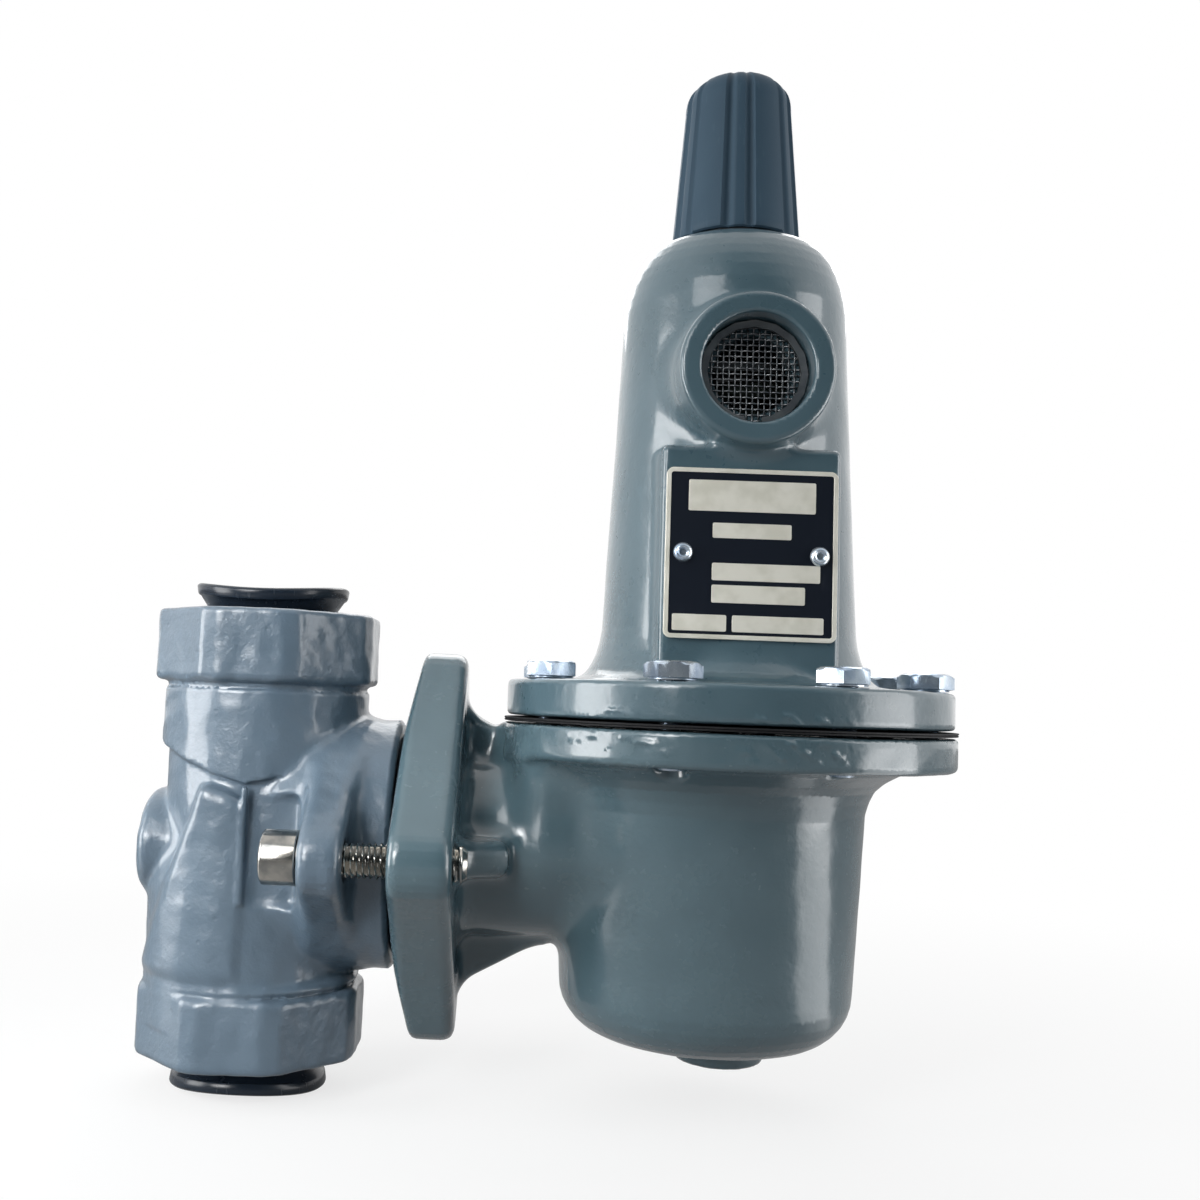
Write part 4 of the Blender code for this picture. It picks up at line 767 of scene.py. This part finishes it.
def caseField(points):
    x, y, z = points.T
    x, z = x - springAxis, z - case["base"]
    r = np.hypot(x, y)
    ventR = np.hypot(x, z - case["ventHeight"])
    flange = rod(r, z, case["flangeRadius"], 0, case["flangeTop"], 1.5)
    flange = flange + rimScars(points, z, *case["scars"])
    shape = joined(outlined(r, z, caseLine, axis=True), flange, 2.6)
    shape = joined(shape, block(x, y, z, *case["pad"], 1.6), 1.4)
    shape = joined(shape, rod(ventR, -y, *case["vent"], 1.6), 4.5)
    shape = shape + 0.025 * waves(points, 11, 7) + 0.04 * waves(points, 27, 8)
    shape = common(shape, -z, 1.0)
    inside = np.minimum(outlined(r, z, caseHollow, axis=True), rod(r, z, *case["topBore"], 0.3))
    vent = np.minimum(rod(ventR, -y, *case["ventBore"], 0.4), rod(ventR, -y, *case["ventWay"], 0.4))
    shape = without(shape, np.minimum(inside, vent), 0.9)
    return drilled(shape, points, *case["drilled"])


casting("case_casting", caseField, case, "spring_case")


# Turned pieces

def turnedPiece(name, stations, columns, place, along, shift=None, spin=0.0):
    # Rings along an axis, closed on it at both ends. A station is (place along the axis, radius) and
    # where it is a hexagon also its width across flats. ("thread", start, end, radius, pitch, depth)
    # is a row of rings whose radius dips with a wave that climbs one pitch in a turn. shift bends
    # the finished points.
    rows = []
    for station in stations:
        if station[0] == "thread":
            _, start, end, radius, pitch, depth = station
            for s in np.linspace(start, end, max(int(abs(end - start) / pitch * 7), 2)):
                fade = min(abs(s - start), abs(s - end)) / pitch
                rows.append((s, radius, 0, depth * min(fade, 1), pitch))
        else:
            rows.append((*station, *(0, 0, 1)[len(station) - 2:]))
    s, radius, flats, depth, pitch = (column[:, None] for column in np.array(rows, float).T)
    way = np.linspace(0, turn, columns, endpoint=False)[None] + spin
    sector = ((way - spin) % (turn / 6)) - turn / 12
    radius = np.minimum(radius, np.where(flats > 0, flats / 2 / np.cos(sector), 1e3))
    radius = radius - depth * np.abs(((s / pitch - way / turn) % 1) - 0.5) * 2
    out, side = radius * np.cos(way), radius * np.sin(way)
    s = np.repeat(s, columns, 1)
    if shift:
        out, side, s = shift(out, side, s)
    points = {"x": (s, out, side), "-y": (out, -s, side), "z": (out, side, s)}[along]
    return closedPiece(name, np.stack(points, -1) + np.array(place))


def roundPiece(name, radius, way, height):
    # Rings round the spring's axis, from radius and height over the angle.
    points = (radius * np.cos(way) + springAxis, radius * np.sin(way), height + 0 * radius)
    return closedPiece(name, np.stack(points, -1))


def ringQuads(ids):
    # The quads between rings of point numbers: a row of ids is a ring that closes on itself.
    beside = np.roll(ids, -1, 1)
    return np.stack([ids[:-1], beside[:-1], beside[1:], ids[1:]], -1).reshape(-1, 4)


def closedPiece(name, points):
    # A grid of points, one ring in each row.
    rings, columns = points.shape[:2]
    ids = np.arange(rings * columns).reshape(rings, columns)
    return closedMesh(name, points.reshape(-1, 3), ringQuads(ids))


def closedMesh(name, points, quads):
    # Rings that shrink to a point are merged, the faces are turned outwards, and edges that turn by
    # more than sharpAngle stay sharp.
    sharpAngle = 0.6
    piece = meshOf(name, points * mm, [quads])
    work = bmesh.new()
    work.from_mesh(piece.data)
    bmesh.ops.remove_doubles(work, verts=work.verts, dist=1e-6)
    bmesh.ops.recalc_face_normals(work, faces=work.faces)
    for e in work.edges:
        if len(e.link_faces) == 2 and e.calc_face_angle(0) > sharpAngle:
            e.smooth = False
    work.to_mesh(piece.data)
    work.free()
    return piece


bodyScrew = dict(
    seat=15.7, head=7.9, headRadius=5.95, socket=6.35, depth=4.2, shank=3.95, length=36.5, pitch=1.3
)


def bodyScrewStations():
    # A socket head with its hexagon hole and chamfers, then a thread down to the tip.
    seat, hole, wide, shank = (bodyScrew[k] for k in ("seat", "socket", "headRadius", "shank"))
    left, right = seat - bodyScrew["head"], seat + bodyScrew["length"]
    bottom = left + bodyScrew["depth"]
    return [
        (bottom + 0.9, 0),
        (bottom, hole / 2 - 0.05, hole),
        (bottom, hole, hole),
        (left + 0.5, hole, hole),
        (left + 0.02, hole / 2 + 0.75),
        (left, hole / 2 + 0.85),
        (left, wide - 1.0),
        (left + 0.12, wide - 0.55),
        (left + 0.45, wide - 0.15),
        (left + 0.9, wide),
        (seat - 0.25, wide),
        (seat, wide - 0.25),
        (seat, shank + 0.3),
        (seat + 0.3, shank - 0.1),
        ("thread", seat + 5, right - 1.1, shank, bodyScrew["pitch"], 0.72),
        (right - 0.9, shank - 0.3),
        (right, shank - 1.0),
        (right, 0),
    ]


for side, label in ((-1, "front"), (1, "rear")):
    name = "body_screw_" + label
    place = (0, body["screwOffset"] * side, body["neckHeight"])
    screw = turnedPiece(name + "_cut", bodyScrewStations(), 48, place, "x")
    fit(screw, "housing", "nickel_steel", name)

casingScrew = dict(seat=91.2, head=4.0, flats=11.1, shank=3.175, length=19.05, pitch=1.27)


def casingScrewStations():
    # A hexagon head with a shallow dish and a washer face, then a thread down to the tip.
    seat, flats, shank = casingScrew["seat"], casingScrew["flats"], casingScrew["shank"]
    top, tip = seat + casingScrew["head"], seat - casingScrew["length"]
    return [
        (top - 0.25, 0),
        (top - 0.25, 2.4),
        (top - 0.05, 3.0),
        (top, 3.3),
        (top, 4.9, flats),
        (top - 0.35, 5.65, flats),
        (top - 0.85, 6.35, flats),
        (seat + 0.5, 6.35, flats),
        (seat + 0.32, 5.3, flats),
        (seat + 0.3, 5.25),
        (seat, 5.2),
        (seat, shank + 0.2),
        (seat - 0.2, shank - 0.1),
        ("thread", seat - 1.5, tip + 0.7, shank, casingScrew["pitch"], 0.66),
        (tip + 0.5, shank - 0.3),
        (tip, shank - 0.8),
        (tip, 0),
    ]


for index in range(8):
    way = (index + 0.5) * turn / 8
    x, y = casing["screwCircle"] * math.cos(way), casing["screwCircle"] * math.sin(way)
    name = "casing_screw_" + str(index + 1)
    place = (springAxis + x, y, 0)
    screw = turnedPiece(name + "_cut", casingScrewStations(), 36, place, "z", spin=0.4 * index)
    fit(screw, "housing", "bright_zinc", name)
print("screws: 10")

# thread: x of its axis, bottom, top, crest and root radius, the radius where the ring ends in its
# wall, and pitch
threads = dict(
    inlet_port_thread=(0, 1.0, 16.5, 15.25, 15.95, 16.4, 2.209),
    outlet_port_thread=(0, 88.6, 104.0, 15.25, 15.95, 16.4, 2.209),
    case_neck_thread=(springAxis, 200.4, 210.3, 11.95, 11.15, 10.8, 2.309),
)
for name, (x, low, high, crest, root, wall, pitch) in threads.items():
    outer, depth = max(crest, root), abs(root - crest)
    stations = [(low, wall), (low, root), ("thread", low + 0.1, high - 0.1, outer, pitch, depth)]
    stations += [(high, root), (high, wall), (low, wall)]
    fit(turnedPiece(name, stations, 72, (x, 0, 0), "z"), "housing", "enamel")

plug = dict(
    stand=3.3, rim=18.6, thick=2.9, neck=15.9, skirt=15.1, depth=11, wall=1.6, sag=0.95, inletGap=0.8
)


def plugStations():
    # A thin dished flange on a short neck, and a cup that goes into the port.
    rim, neck, skirt, wall, depth = (plug[k] for k in ("rim", "neck", "skirt", "wall", "depth"))
    top = plug["stand"] + 3.3 - plug["sag"]
    under = top - plug["thick"]
    floor = plug["stand"] - 2.1
    return [
        (top - 1.1, 0),
        (top - 1.1, 11.5),
        (top - 0.9, 13.5),
        (top - 0.2, rim - 1.6),
        (top, rim - 0.9),
        (top - 0.1, rim - 0.5),
        (top - 0.45, rim - 0.1),
        (top - 0.8, rim),
        (under + 0.6, rim - 0.25),
        (under + 0.2, rim - 0.5),
        (under, rim - 1.0),
        (1.0, neck + 0.2),
        (0.35, neck - 0.1),
        (-0.35, skirt),
        (-depth + 0.6, skirt - 0.5),
        (-depth, skirt - 0.8),
        (-depth, skirt - 0.8 - wall * 0.7),
        (-1.0, skirt - wall - 0.3),
        (floor, skirt - wall - 1.2),
        (floor, 0),
    ]


def saddle(out, side, s):
    # The flange lifts at its left and right, where it was pressed in.
    lift = plug["sag"] * (out**2 - side**2) / plug["rim"] ** 2 * np.clip(s / 3, 0, 1)
    return out, side, s + lift


def tilted(out, side, s):
    # The lower plug is turned over, a touch smaller, and sits a little askew.
    out, side, s = saddle(out * 0.995, side * 0.995, s)
    return out, -side, -s - 0.4 - 0.012 * out * np.clip(s / 3, 0, 1)


for port, height, shift in (("outlet", body["length"], saddle), ("inlet", -plug["inletGap"], tilted)):
    moulded = turnedPiece(port + "_plug_moulded", plugStations(), 96, (0, 0, height), "z", shift)
    fit(moulded, port + "_cover", "charcoal_plastic", port + "_plug")

cap = dict(
    base=201.8,
    height=43.6,
    baseRadius=15.9,
    topRadius=13.25,
    dome=9.0,
    power=2.5,
    groove=1.15,
    ribHalf=6.0,  # this, the next and turnTo are in degrees round the cap
    grooveHalf=4.2,
    turnTo=-96.5,
    thread=12.35,
    threadTop=9.2,
    threadFade=2.3,
    hollow=10.6,
)


def capPiece():
    # A tapered fluted cap: six broad panels, and between them a low rib with a groove on each side.
    # The outside is radius(height) less groove(angle), and the inside is a threaded cup.
    base, dome, rib, groove = (cap[k] for k in ("base", "dome", "ribHalf", "grooveHalf"))
    top = base + cap["height"]
    heights = np.concatenate([[base + 0.35], np.linspace(base + 1, top - dome, 26)])
    sides = np.interp(heights, [base, top - dome], [cap["baseRadius"], cap["topRadius"]])
    sides[0] -= 0.3
    climb = np.sin(np.linspace(0, turn / 4, 22)[1:])
    domeSides = cap["topRadius"] * (1 - climb ** cap["power"]) ** (1 / cap["power"])
    heights = np.concatenate([[base], heights, top - dome * (1 - climb)])
    sides = np.concatenate([[cap["baseRadius"] - 0.9], sides, domeSides])
    fade = np.clip((sides - 3.0) / 7.0, 0, 1) * np.clip((heights - base + 0.4) / 1.2, 0, 1)
    way = np.linspace(0, turn, 240, endpoint=False)
    offset = np.degrees((way - math.radians(cap["turnTo"]) + turn / 12) % (turn / 6) - turn / 12)
    gap = np.abs(np.abs(offset) - rib - groove) / (groove + 0.8)
    dip = np.clip(1 - gap**2, 0, 1) ** 0.8 + 0.28 * (np.abs(offset) < rib)
    outer = sides[:, None] - cap["groove"] * fade[:, None] * dip[None] * (sides[:, None] / 16)

    pitch = threads["case_neck_thread"][-1]
    rows = np.linspace(base + 0.4, base + cap["threadTop"], 28)
    wave = np.abs(((rows[:, None] / pitch - way[None] / turn) % 1) - 0.5) * 2
    ends = np.clip((base + cap["threadTop"] - rows) / cap["threadFade"], 0, 1)[:, None]
    thread = cap["thread"] + 0.75 * wave * ends
    hollow = cap["hollow"]
    cup = [(base + 10, hollow + 1.2), (base + 11.5, hollow), (top - 8.4, hollow - 0.6)]
    cup += [(top - 5.6, hollow - 2.2), (top - 4.7, hollow - 4.5), (top - 4.7, 0)]
    cupHeights, cupSides = np.array(cup).T
    radius = np.concatenate([outer[::-1], thread, np.repeat(cupSides[:, None], way.size, 1)])
    height = np.concatenate([heights[::-1], rows, cupHeights])[:, None]
    return roundPiece("closing_cap_moulded", radius, way, height)


fit(capPiece(), "cap", "slate_plastic", "closing_cap")
print("cap and plugs ready")

spring = dict(low=86.3, high=164.3, wire=4.6, radius=17.0, turns=7, flat=1.06)


def springPiece(name, first, last):
    # A stretch of the coil. Height climbs with the turns, and the first and last turn lie flat.
    low, high, wire, turns, flat = (spring[k] for k in ("low", "high", "wire", "turns", "flat"))
    t = np.linspace(first, last, int((last - first) * 40))
    free = high - low - wire * (1 + 2 * flat)
    flatTurns = np.minimum(t, 1) + np.maximum(t - turns + 1, 0)
    rise = free * np.clip(t - 1, 0, turns - 2) / (turns - 2)
    z = np.minimum(low + wire * (0.5 + flat * flatTurns) + rise, high - wire / 2)
    around = np.linspace(0, turn, 12, endpoint=False)
    thick = np.full(t.size, wire / 2 - 0.03)
    thick[[0, -1]] = 0
    radius = spring["radius"] + thick[:, None] * np.cos(around)
    height = z[:, None] + thick[:, None] * np.sin(around)
    return roundPiece(name, radius, t[:, None] * turn, height)


foot = springPiece("spring_coil_lower", 0, spring["turns"] / 2)
fit(foot, None, "spring_steel", "control_spring")
head = springPiece("spring_coil_upper", spring["turns"] / 2, spring["turns"])
fit(head, None, "spring_steel")
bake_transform(foot)
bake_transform(head)

diaphragm = dict(base=80.9, thick=0.9, clamp=39.5, plate=27.5, hole=3.4, fold=4.4, edge=54.12)
d = diaphragm
thick, edge = d["thick"], d["edge"]


def fabricPiece(name, line, loose):
    # Cloth turned round the axis. line is its underside from inside out, and loose is the cut edge,
    # each point with how far it wanders.
    rows = [(a, b + thick, 0) for a, b in line] + loose + [(a, b, 0) for a, b in line[::-1]]
    rows.append(rows[0])
    radius, height, free = np.array(rows).T[:, :, None]
    way = np.linspace(0, turn, 360, endpoint=False)[None]
    wander = 0.10 * np.sin(3 * way + 1) + 0.06 * np.sin(11 * way) + 0.05 * np.sin(23 * way + 2)
    tab = 1.1 * np.exp(-(((np.cos(way - 3.45) - 1) / 0.004) ** 2))
    radius = radius + free * (wander * (np.cos(way) < 0.97) + tab)
    return roundPiece(name, radius, way, height + d["base"])


# The fold rises between the clamp and the plate. Each slope bends, and the crest where they meet
# moves half as far as the plate.
outerFold = [
    (d["clamp"] + (d["plate"] - d["clamp"]) * s, d["fold"] * math.sin(math.pi * s) ** 2)
    for s in np.linspace(0, 0.5, 9)
]
innerFold = [(d["clamp"] + d["plate"] - a, b) for a, b in outerFold]
cutEdge = [(edge - 0.1, thick, 1), (edge, thick - 0.08, 1), (edge, thick * 0.62, 1)]
cutEdge += [(edge - 0.3, thick / 2, 1), (edge - 0.05, thick * 0.38, 0.8), (edge - 0.05, 0.08, 0.8)]
cutEdge += [(edge - 0.15, 0, 0.8)]
rim = fabricPiece("diaphragm_rim", outerFold[::-1] + [(46, 0), (53, 0)], cutEdge)
fit(rim, None, "fabric_rubber", "diaphragm")
middlePart = fabricPiece("diaphragm_middle", [(d["hole"], 0), (d["plate"] - 3, 0)] + innerFold, [])
fit(middlePart, None, "fabric_rubber")
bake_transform(rim)
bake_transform(middlePart)
print("spring and diaphragm ready")

plate = dict(
    low=(93.25, 100.8), high=(131.55, 139.1), back=-31.5, field=-32.12, face=-32.3, corner=1.6, rim=1.0,
    # left, right, bottom and top of each bare panel, from the plate's lower left corner
    panels=(
        (1.9, 13.9, 1.7, 5.4), (15.2, 35.4, 1.7, 5.4), (10.5, 31.2, 8.1, 12.1),
        (10.5, 34.5, 13.1, 17.0), (10.5, 28.0, 22.6, 26.0), (5.0, 33.3, 28.6, 35.6),
    ),
    panelCorner=0.35,
)


def plateRings(box, corner, rows):
    # Rings round a rectangle with round corners. A row is y and how far the ring is moved inwards,
    # or None where it shrinks to a point.
    left, right, bottom, top = box
    corners = ((right, top, 1, 1), (left, top, -1, 1), (left, bottom, -1, -1), (right, bottom, 1, -1))
    rings = []
    for y, inset in rows:
        if inset is None:
            rings.append(np.tile([(left + right) / 2, y, (bottom + top) / 2], (32, 1)))
            continue
        radius = max(corner - inset, 0.08)
        points = []
        for quarter, (x, z, sideX, sideZ) in enumerate(corners):
            start = quarter * turn / 4
            middleX, middleZ = x - sideX * (inset + radius), z - sideZ * (inset + radius)
            points += arc(middleX, middleZ, radius, start, start + turn / 4, 8)
        rings.append(np.array([(x, y, z) for x, z in points]))
    return np.array(rings)


def platePiece(name, islands):
    quads, first = [], 0
    for rings in islands:
        count, columns = rings.shape[:2]
        quads.append(ringQuads(first + np.arange(count * columns).reshape(count, columns)))
        first += count * columns
    points = np.concatenate([rings.reshape(-1, 3) for rings in islands])
    return closedMesh(name, points, np.concatenate(quads))


def nameplatePieces():
    # A painted field, and over it the bare metal: a frame round the edge and the panels.
    back, field, face, border = (plate[k] for k in ("back", "field", "face", "rim"))
    (left, bottom), (right, top) = plate["low"], plate["high"]
    box = (left, right, bottom, top)
    fieldRows = [(back, None), (back, 0.15), (field, 0.15), (field, None)]
    painted = platePiece("nameplate_field", [plateRings(box, plate["corner"], fieldRows)])
    paint = plasticFinish("nameplate_paint", (4, 13, 27), (9, 20, 36), 0.35, 1800, 0.05)
    fit(painted, "housing", "nameplate_metal", "nameplate", finish=paint)
    frameRows = [(back - 0.05, 0), (face + 0.08, 0), (face, 0.08), (face, border - 0.05)]
    frameRows += [(face + 0.05, border), (field + 0.1, border), (back - 0.05, 0)]
    islands = [plateRings(box, plate["corner"], frameRows)]
    panelRows = [(field + 0.1, None), (field + 0.1, 0), (face + 0.04, 0), (face, 0.05), (face, None)]
    for low, high, under, over in plate["panels"]:
        panel = (left + low, left + high, bottom + under, bottom + over)
        islands.append(plateRings(panel, plate["panelCorner"], panelRows))
    fit(platePiece("nameplate_bare_metal", islands), "housing", "nameplate_metal")


nameplatePieces()

rivet = dict(face=32.4, offset=15.2, height=119.95)
rivetLine = [(0.25, 0), (0.3, 0.75), (0.95, 0.95), (1.1, 1.25), (1.0, 1.6), (0.6, 2.0), (0.05, 2.2)]
rivetLine += [(0, 1.0), (-4, 0.95), (-4, 0)]
rivetStations = [(rivet["face"] + rise, radius) for rise, radius in rivetLine]
for index, side in enumerate((-1, 1)):
    name = "nameplate_rivet_" + str(index + 1)
    place = (springAxis + rivet["offset"] * side, 0, rivet["height"])
    fit(turnedPiece(name + "_domed", rivetStations, 48, place, "-y"), "housing", "bright_zinc", name)

screen = dict(pitch=1.35, thick=0.21, weave=0.19, radius=12.15, depth=-29.4, wires=8, sides=5)


def wireCloth():
    # The vent's screen: wires that pass over and under each other, each a five-sided tube along a
    # sine, clipped to the screen's disc.
    pitch, sides, wires = screen["pitch"], screen["sides"], screen["wires"]
    around = np.linspace(0, turn, sides, endpoint=False)
    ring = screen["thick"] * np.stack([np.cos(around), np.sin(around)], 1)
    points, faces, first = [], [], 0
    for direction in (0, 1):
        for number in range(-wires, wires + 1):
            offset = number * pitch
            half = math.sqrt(screen["radius"] ** 2 - offset**2)
            along = np.arange(-half, half, pitch / 5)
            lift = screen["weave"] * np.cos(math.pi * (along / pitch + number + direction))
            a = np.repeat(along[:, None], sides, 1)
            b = offset + ring[None, :, 0] + 0 * a
            y = screen["depth"] + lift[:, None] + ring[None, :, 1]
            tube = (b, y, a) if direction else (a, y, b)
            points.append(np.stack(tube, -1).reshape(-1, 3))
            quads = ringQuads(first + np.arange(a.size).reshape(a.shape))
            faces.append(quads if direction else quads[:, ::-1])
            first += a.size
    points = np.concatenate(points) + np.array([springAxis, 0, case["base"] + case["ventHeight"]])
    return meshOf("vent_screen_woven", points * mm, [np.concatenate(faces)])


fit(wireCloth(), "housing", "plain_steel", "vent_screen")
print("trim ready")


# Studio

camera = bpy.data.objects.new("camera", bpy.data.cameras.new("camera"))
bpy.context.scene.collection.objects.link(camera)
# angles in degrees, the eye in metres, the lens and its centre in pixels of a square picture
view = dict(
    azimuth=-0.96,
    elevation=-4.96,
    roll=2.14,
    eye=(0.0628, -0.31365, 0.0858),
    focus=1268.88,
    centre=(505.82, 589.13),
    size=1200,
    sensor=36,
)
azimuth, elevation, roll = (math.radians(view[k]) for k in ("azimuth", "elevation", "roll"))
level = math.cos(elevation)
ahead = Vector((math.sin(azimuth) * level, math.cos(azimuth) * level, -math.sin(elevation)))
across = ahead.cross(Vector((0, 0, 1))).normalized()
upright = across.cross(ahead).normalized()
right = across * math.cos(roll) + upright * math.sin(roll)
up = -across * math.sin(roll) + upright * math.cos(roll)
camera.data.sensor_width = view["sensor"]
camera.data.lens = view["focus"] / view["size"] * view["sensor"]
camera.data.shift_x = (view["size"] / 2 - view["centre"][0]) / view["size"]
camera.data.shift_y = (view["centre"][1] - view["size"] / 2) / view["size"]
camera.data.clip_start = 0.01
camera.data.clip_end = 50
turned = Matrix((right, up, -ahead)).transposed().to_4x4()
camera.matrix_world = Matrix.Translation(view["eye"]) @ turned
bpy.context.scene.camera = camera

# Each lamp: power, place, width and height, then what it aims at and its spread in degrees, where
# they aren't the usual ones. Tall strips stand at the sides, as windows would.
lamps = dict(
    key=(0.9, (-0.22, -0.45, 0.42), (0.30, 0.30)),
    side=(0.85, (0.50, -0.12, 0.14), (0.24, 0.40)),
    near=(0.10, (-0.16, -0.28, 0.16), (0.16, 0.24), (0, 0, 0.05), 40),
    left=(2.0, (-0.45, -0.15, 0.16), (0.24, 0.40)),
    back=(0.9, (0.1, 0.40, 0.45), (0.5, 0.3)),
)
studio = dict(
    floor=-0.0082,
    floorEdge=3.0,
    mirrored=0.3,  # how bright reflections show the floor
    world=0.43,  # light from all round
    front=0.07,  # the share of it that comes from behind the camera
    shade=(176, 210, 226),
    paper=(255, 255, 255),
    # Strips on the floor that only reflections show: strength, the distance over which one starts,
    # and the slopes, seen from above, between which it begins and ends.
    rightStrip=(2.6, (0.15, 0.22), (-0.72, -0.56), (-0.08, 0.06)),
    leftStrip=(1.6, (0.04, 0.10), (0.04, 0.14), (0.52, 0.66)),
)


def lamp(name, power, place, size, aim=(0.08, 0, 0.1), spread=180):
    light = bpy.data.lights.new(name, "AREA")
    light.shape = "RECTANGLE"
    light.size, light.size_y = size
    light.energy = power
    light.spread = math.radians(spread)
    holder = bpy.data.objects.new(name, light)
    bpy.context.scene.collection.objects.link(holder)
    holder.location = place
    holder.rotation_mode = "QUATERNION"
    holder.rotation_quaternion = (Vector(aim) - Vector(place)).to_track_quat("-Z", "Y")
    holder.visible_camera = False


for name, look in lamps.items():
    lamp(name + "_light", *look)

world = bpy.data.worlds.new("studio")
bpy.context.scene.world = world
world.use_nodes = True
sky = Wire(world.node_tree)
seen = sky.make("ShaderNodeLightPath", output="Is Camera Ray")
# the studio is darker behind the camera, so reflections show that in surfaces that face it, and
# light from there is a little bluer
x, y, z = sky.make("ShaderNodeTexCoord", output="Generated").parts()
room = y.step(-0.9, -0.25) * (1 - studio["front"]) + studio["front"]
shiny = seen.other("Is Glossy Ray") * room
direct = seen.most(seen.other("Is Transmission Ray"))
strength = direct.most(shiny).most(room * studio["world"])
backdrop = world.node_tree.nodes["Background"]
tint = direct.most(room).blend(colour(*studio["shade"]), colour(*studio["paper"]))
world.node_tree.links.new(tint.socket, backdrop.inputs["Color"])
world.node_tree.links.new(strength.socket, backdrop.inputs["Strength"])

e, level = studio["floorEdge"], studio["floor"]
floorPoints = np.array([(-e, -e, level), (e, -e, level), (e, e, level), (-e, e, level)])
floor = meshOf("floor", floorPoints, [np.array([[0, 1, 2, 3]])])
floorPaint, floorPlace, floorJoin = newFinish("floor_paint", {"Roughness": 0.9})
floor.data.materials.append(floorPaint)
tree = floorPaint.node_tree


def strip(out, slope, power, start, low, high):
    return out.step(*start) * slope.step(*low) * (1 - slope.step(*high)) * power


# a strip's sides point at the object, so reflections show it going on below the floor's level
x, y, z = floorPlace.parts()
strips = strip(x, y / (x - 0.112), *studio["rightStrip"]) + strip(0 - x, y / x, *studio["leftStrip"])
seen = Wire(tree).make("ShaderNodeLightPath", output="Is Camera Ray")
glossy = seen.other("Is Glossy Ray")
shine = seen.most(glossy * (strips + studio["mirrored"]))
direct = seen.most(glossy)
floorJoin(Base_Color=direct.blend(colour(118, 122, 126), colour(250, 250, 250)))
glow = direct.make("ShaderNodeEmission", None, {"Color": (1, 1, 1, 1), "Strength": shine})
plain = Wire(tree, tree.nodes["Principled BSDF"].outputs[0])
off = x - 0.06
far = off.math("SQRT", off * off + y * y)
share = direct * (far.step(0.10, 0.42) * 0.25 + 0.75)
mixed = direct.make("ShaderNodeMixShader", None, {0: share, 1: plain, 2: glow})
# from below, the floor is clear
below = direct.make("ShaderNodeNewGeometry", output="Backfacing")
clear = direct.make("ShaderNodeBsdfTransparent")
mixed = direct.make("ShaderNodeMixShader", None, {0: below, 1: mixed, 2: clear})
tree.links.new(mixed.socket, tree.nodes["Material Output"].inputs["Surface"])
floor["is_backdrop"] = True
print("studio ready")

low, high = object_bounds()
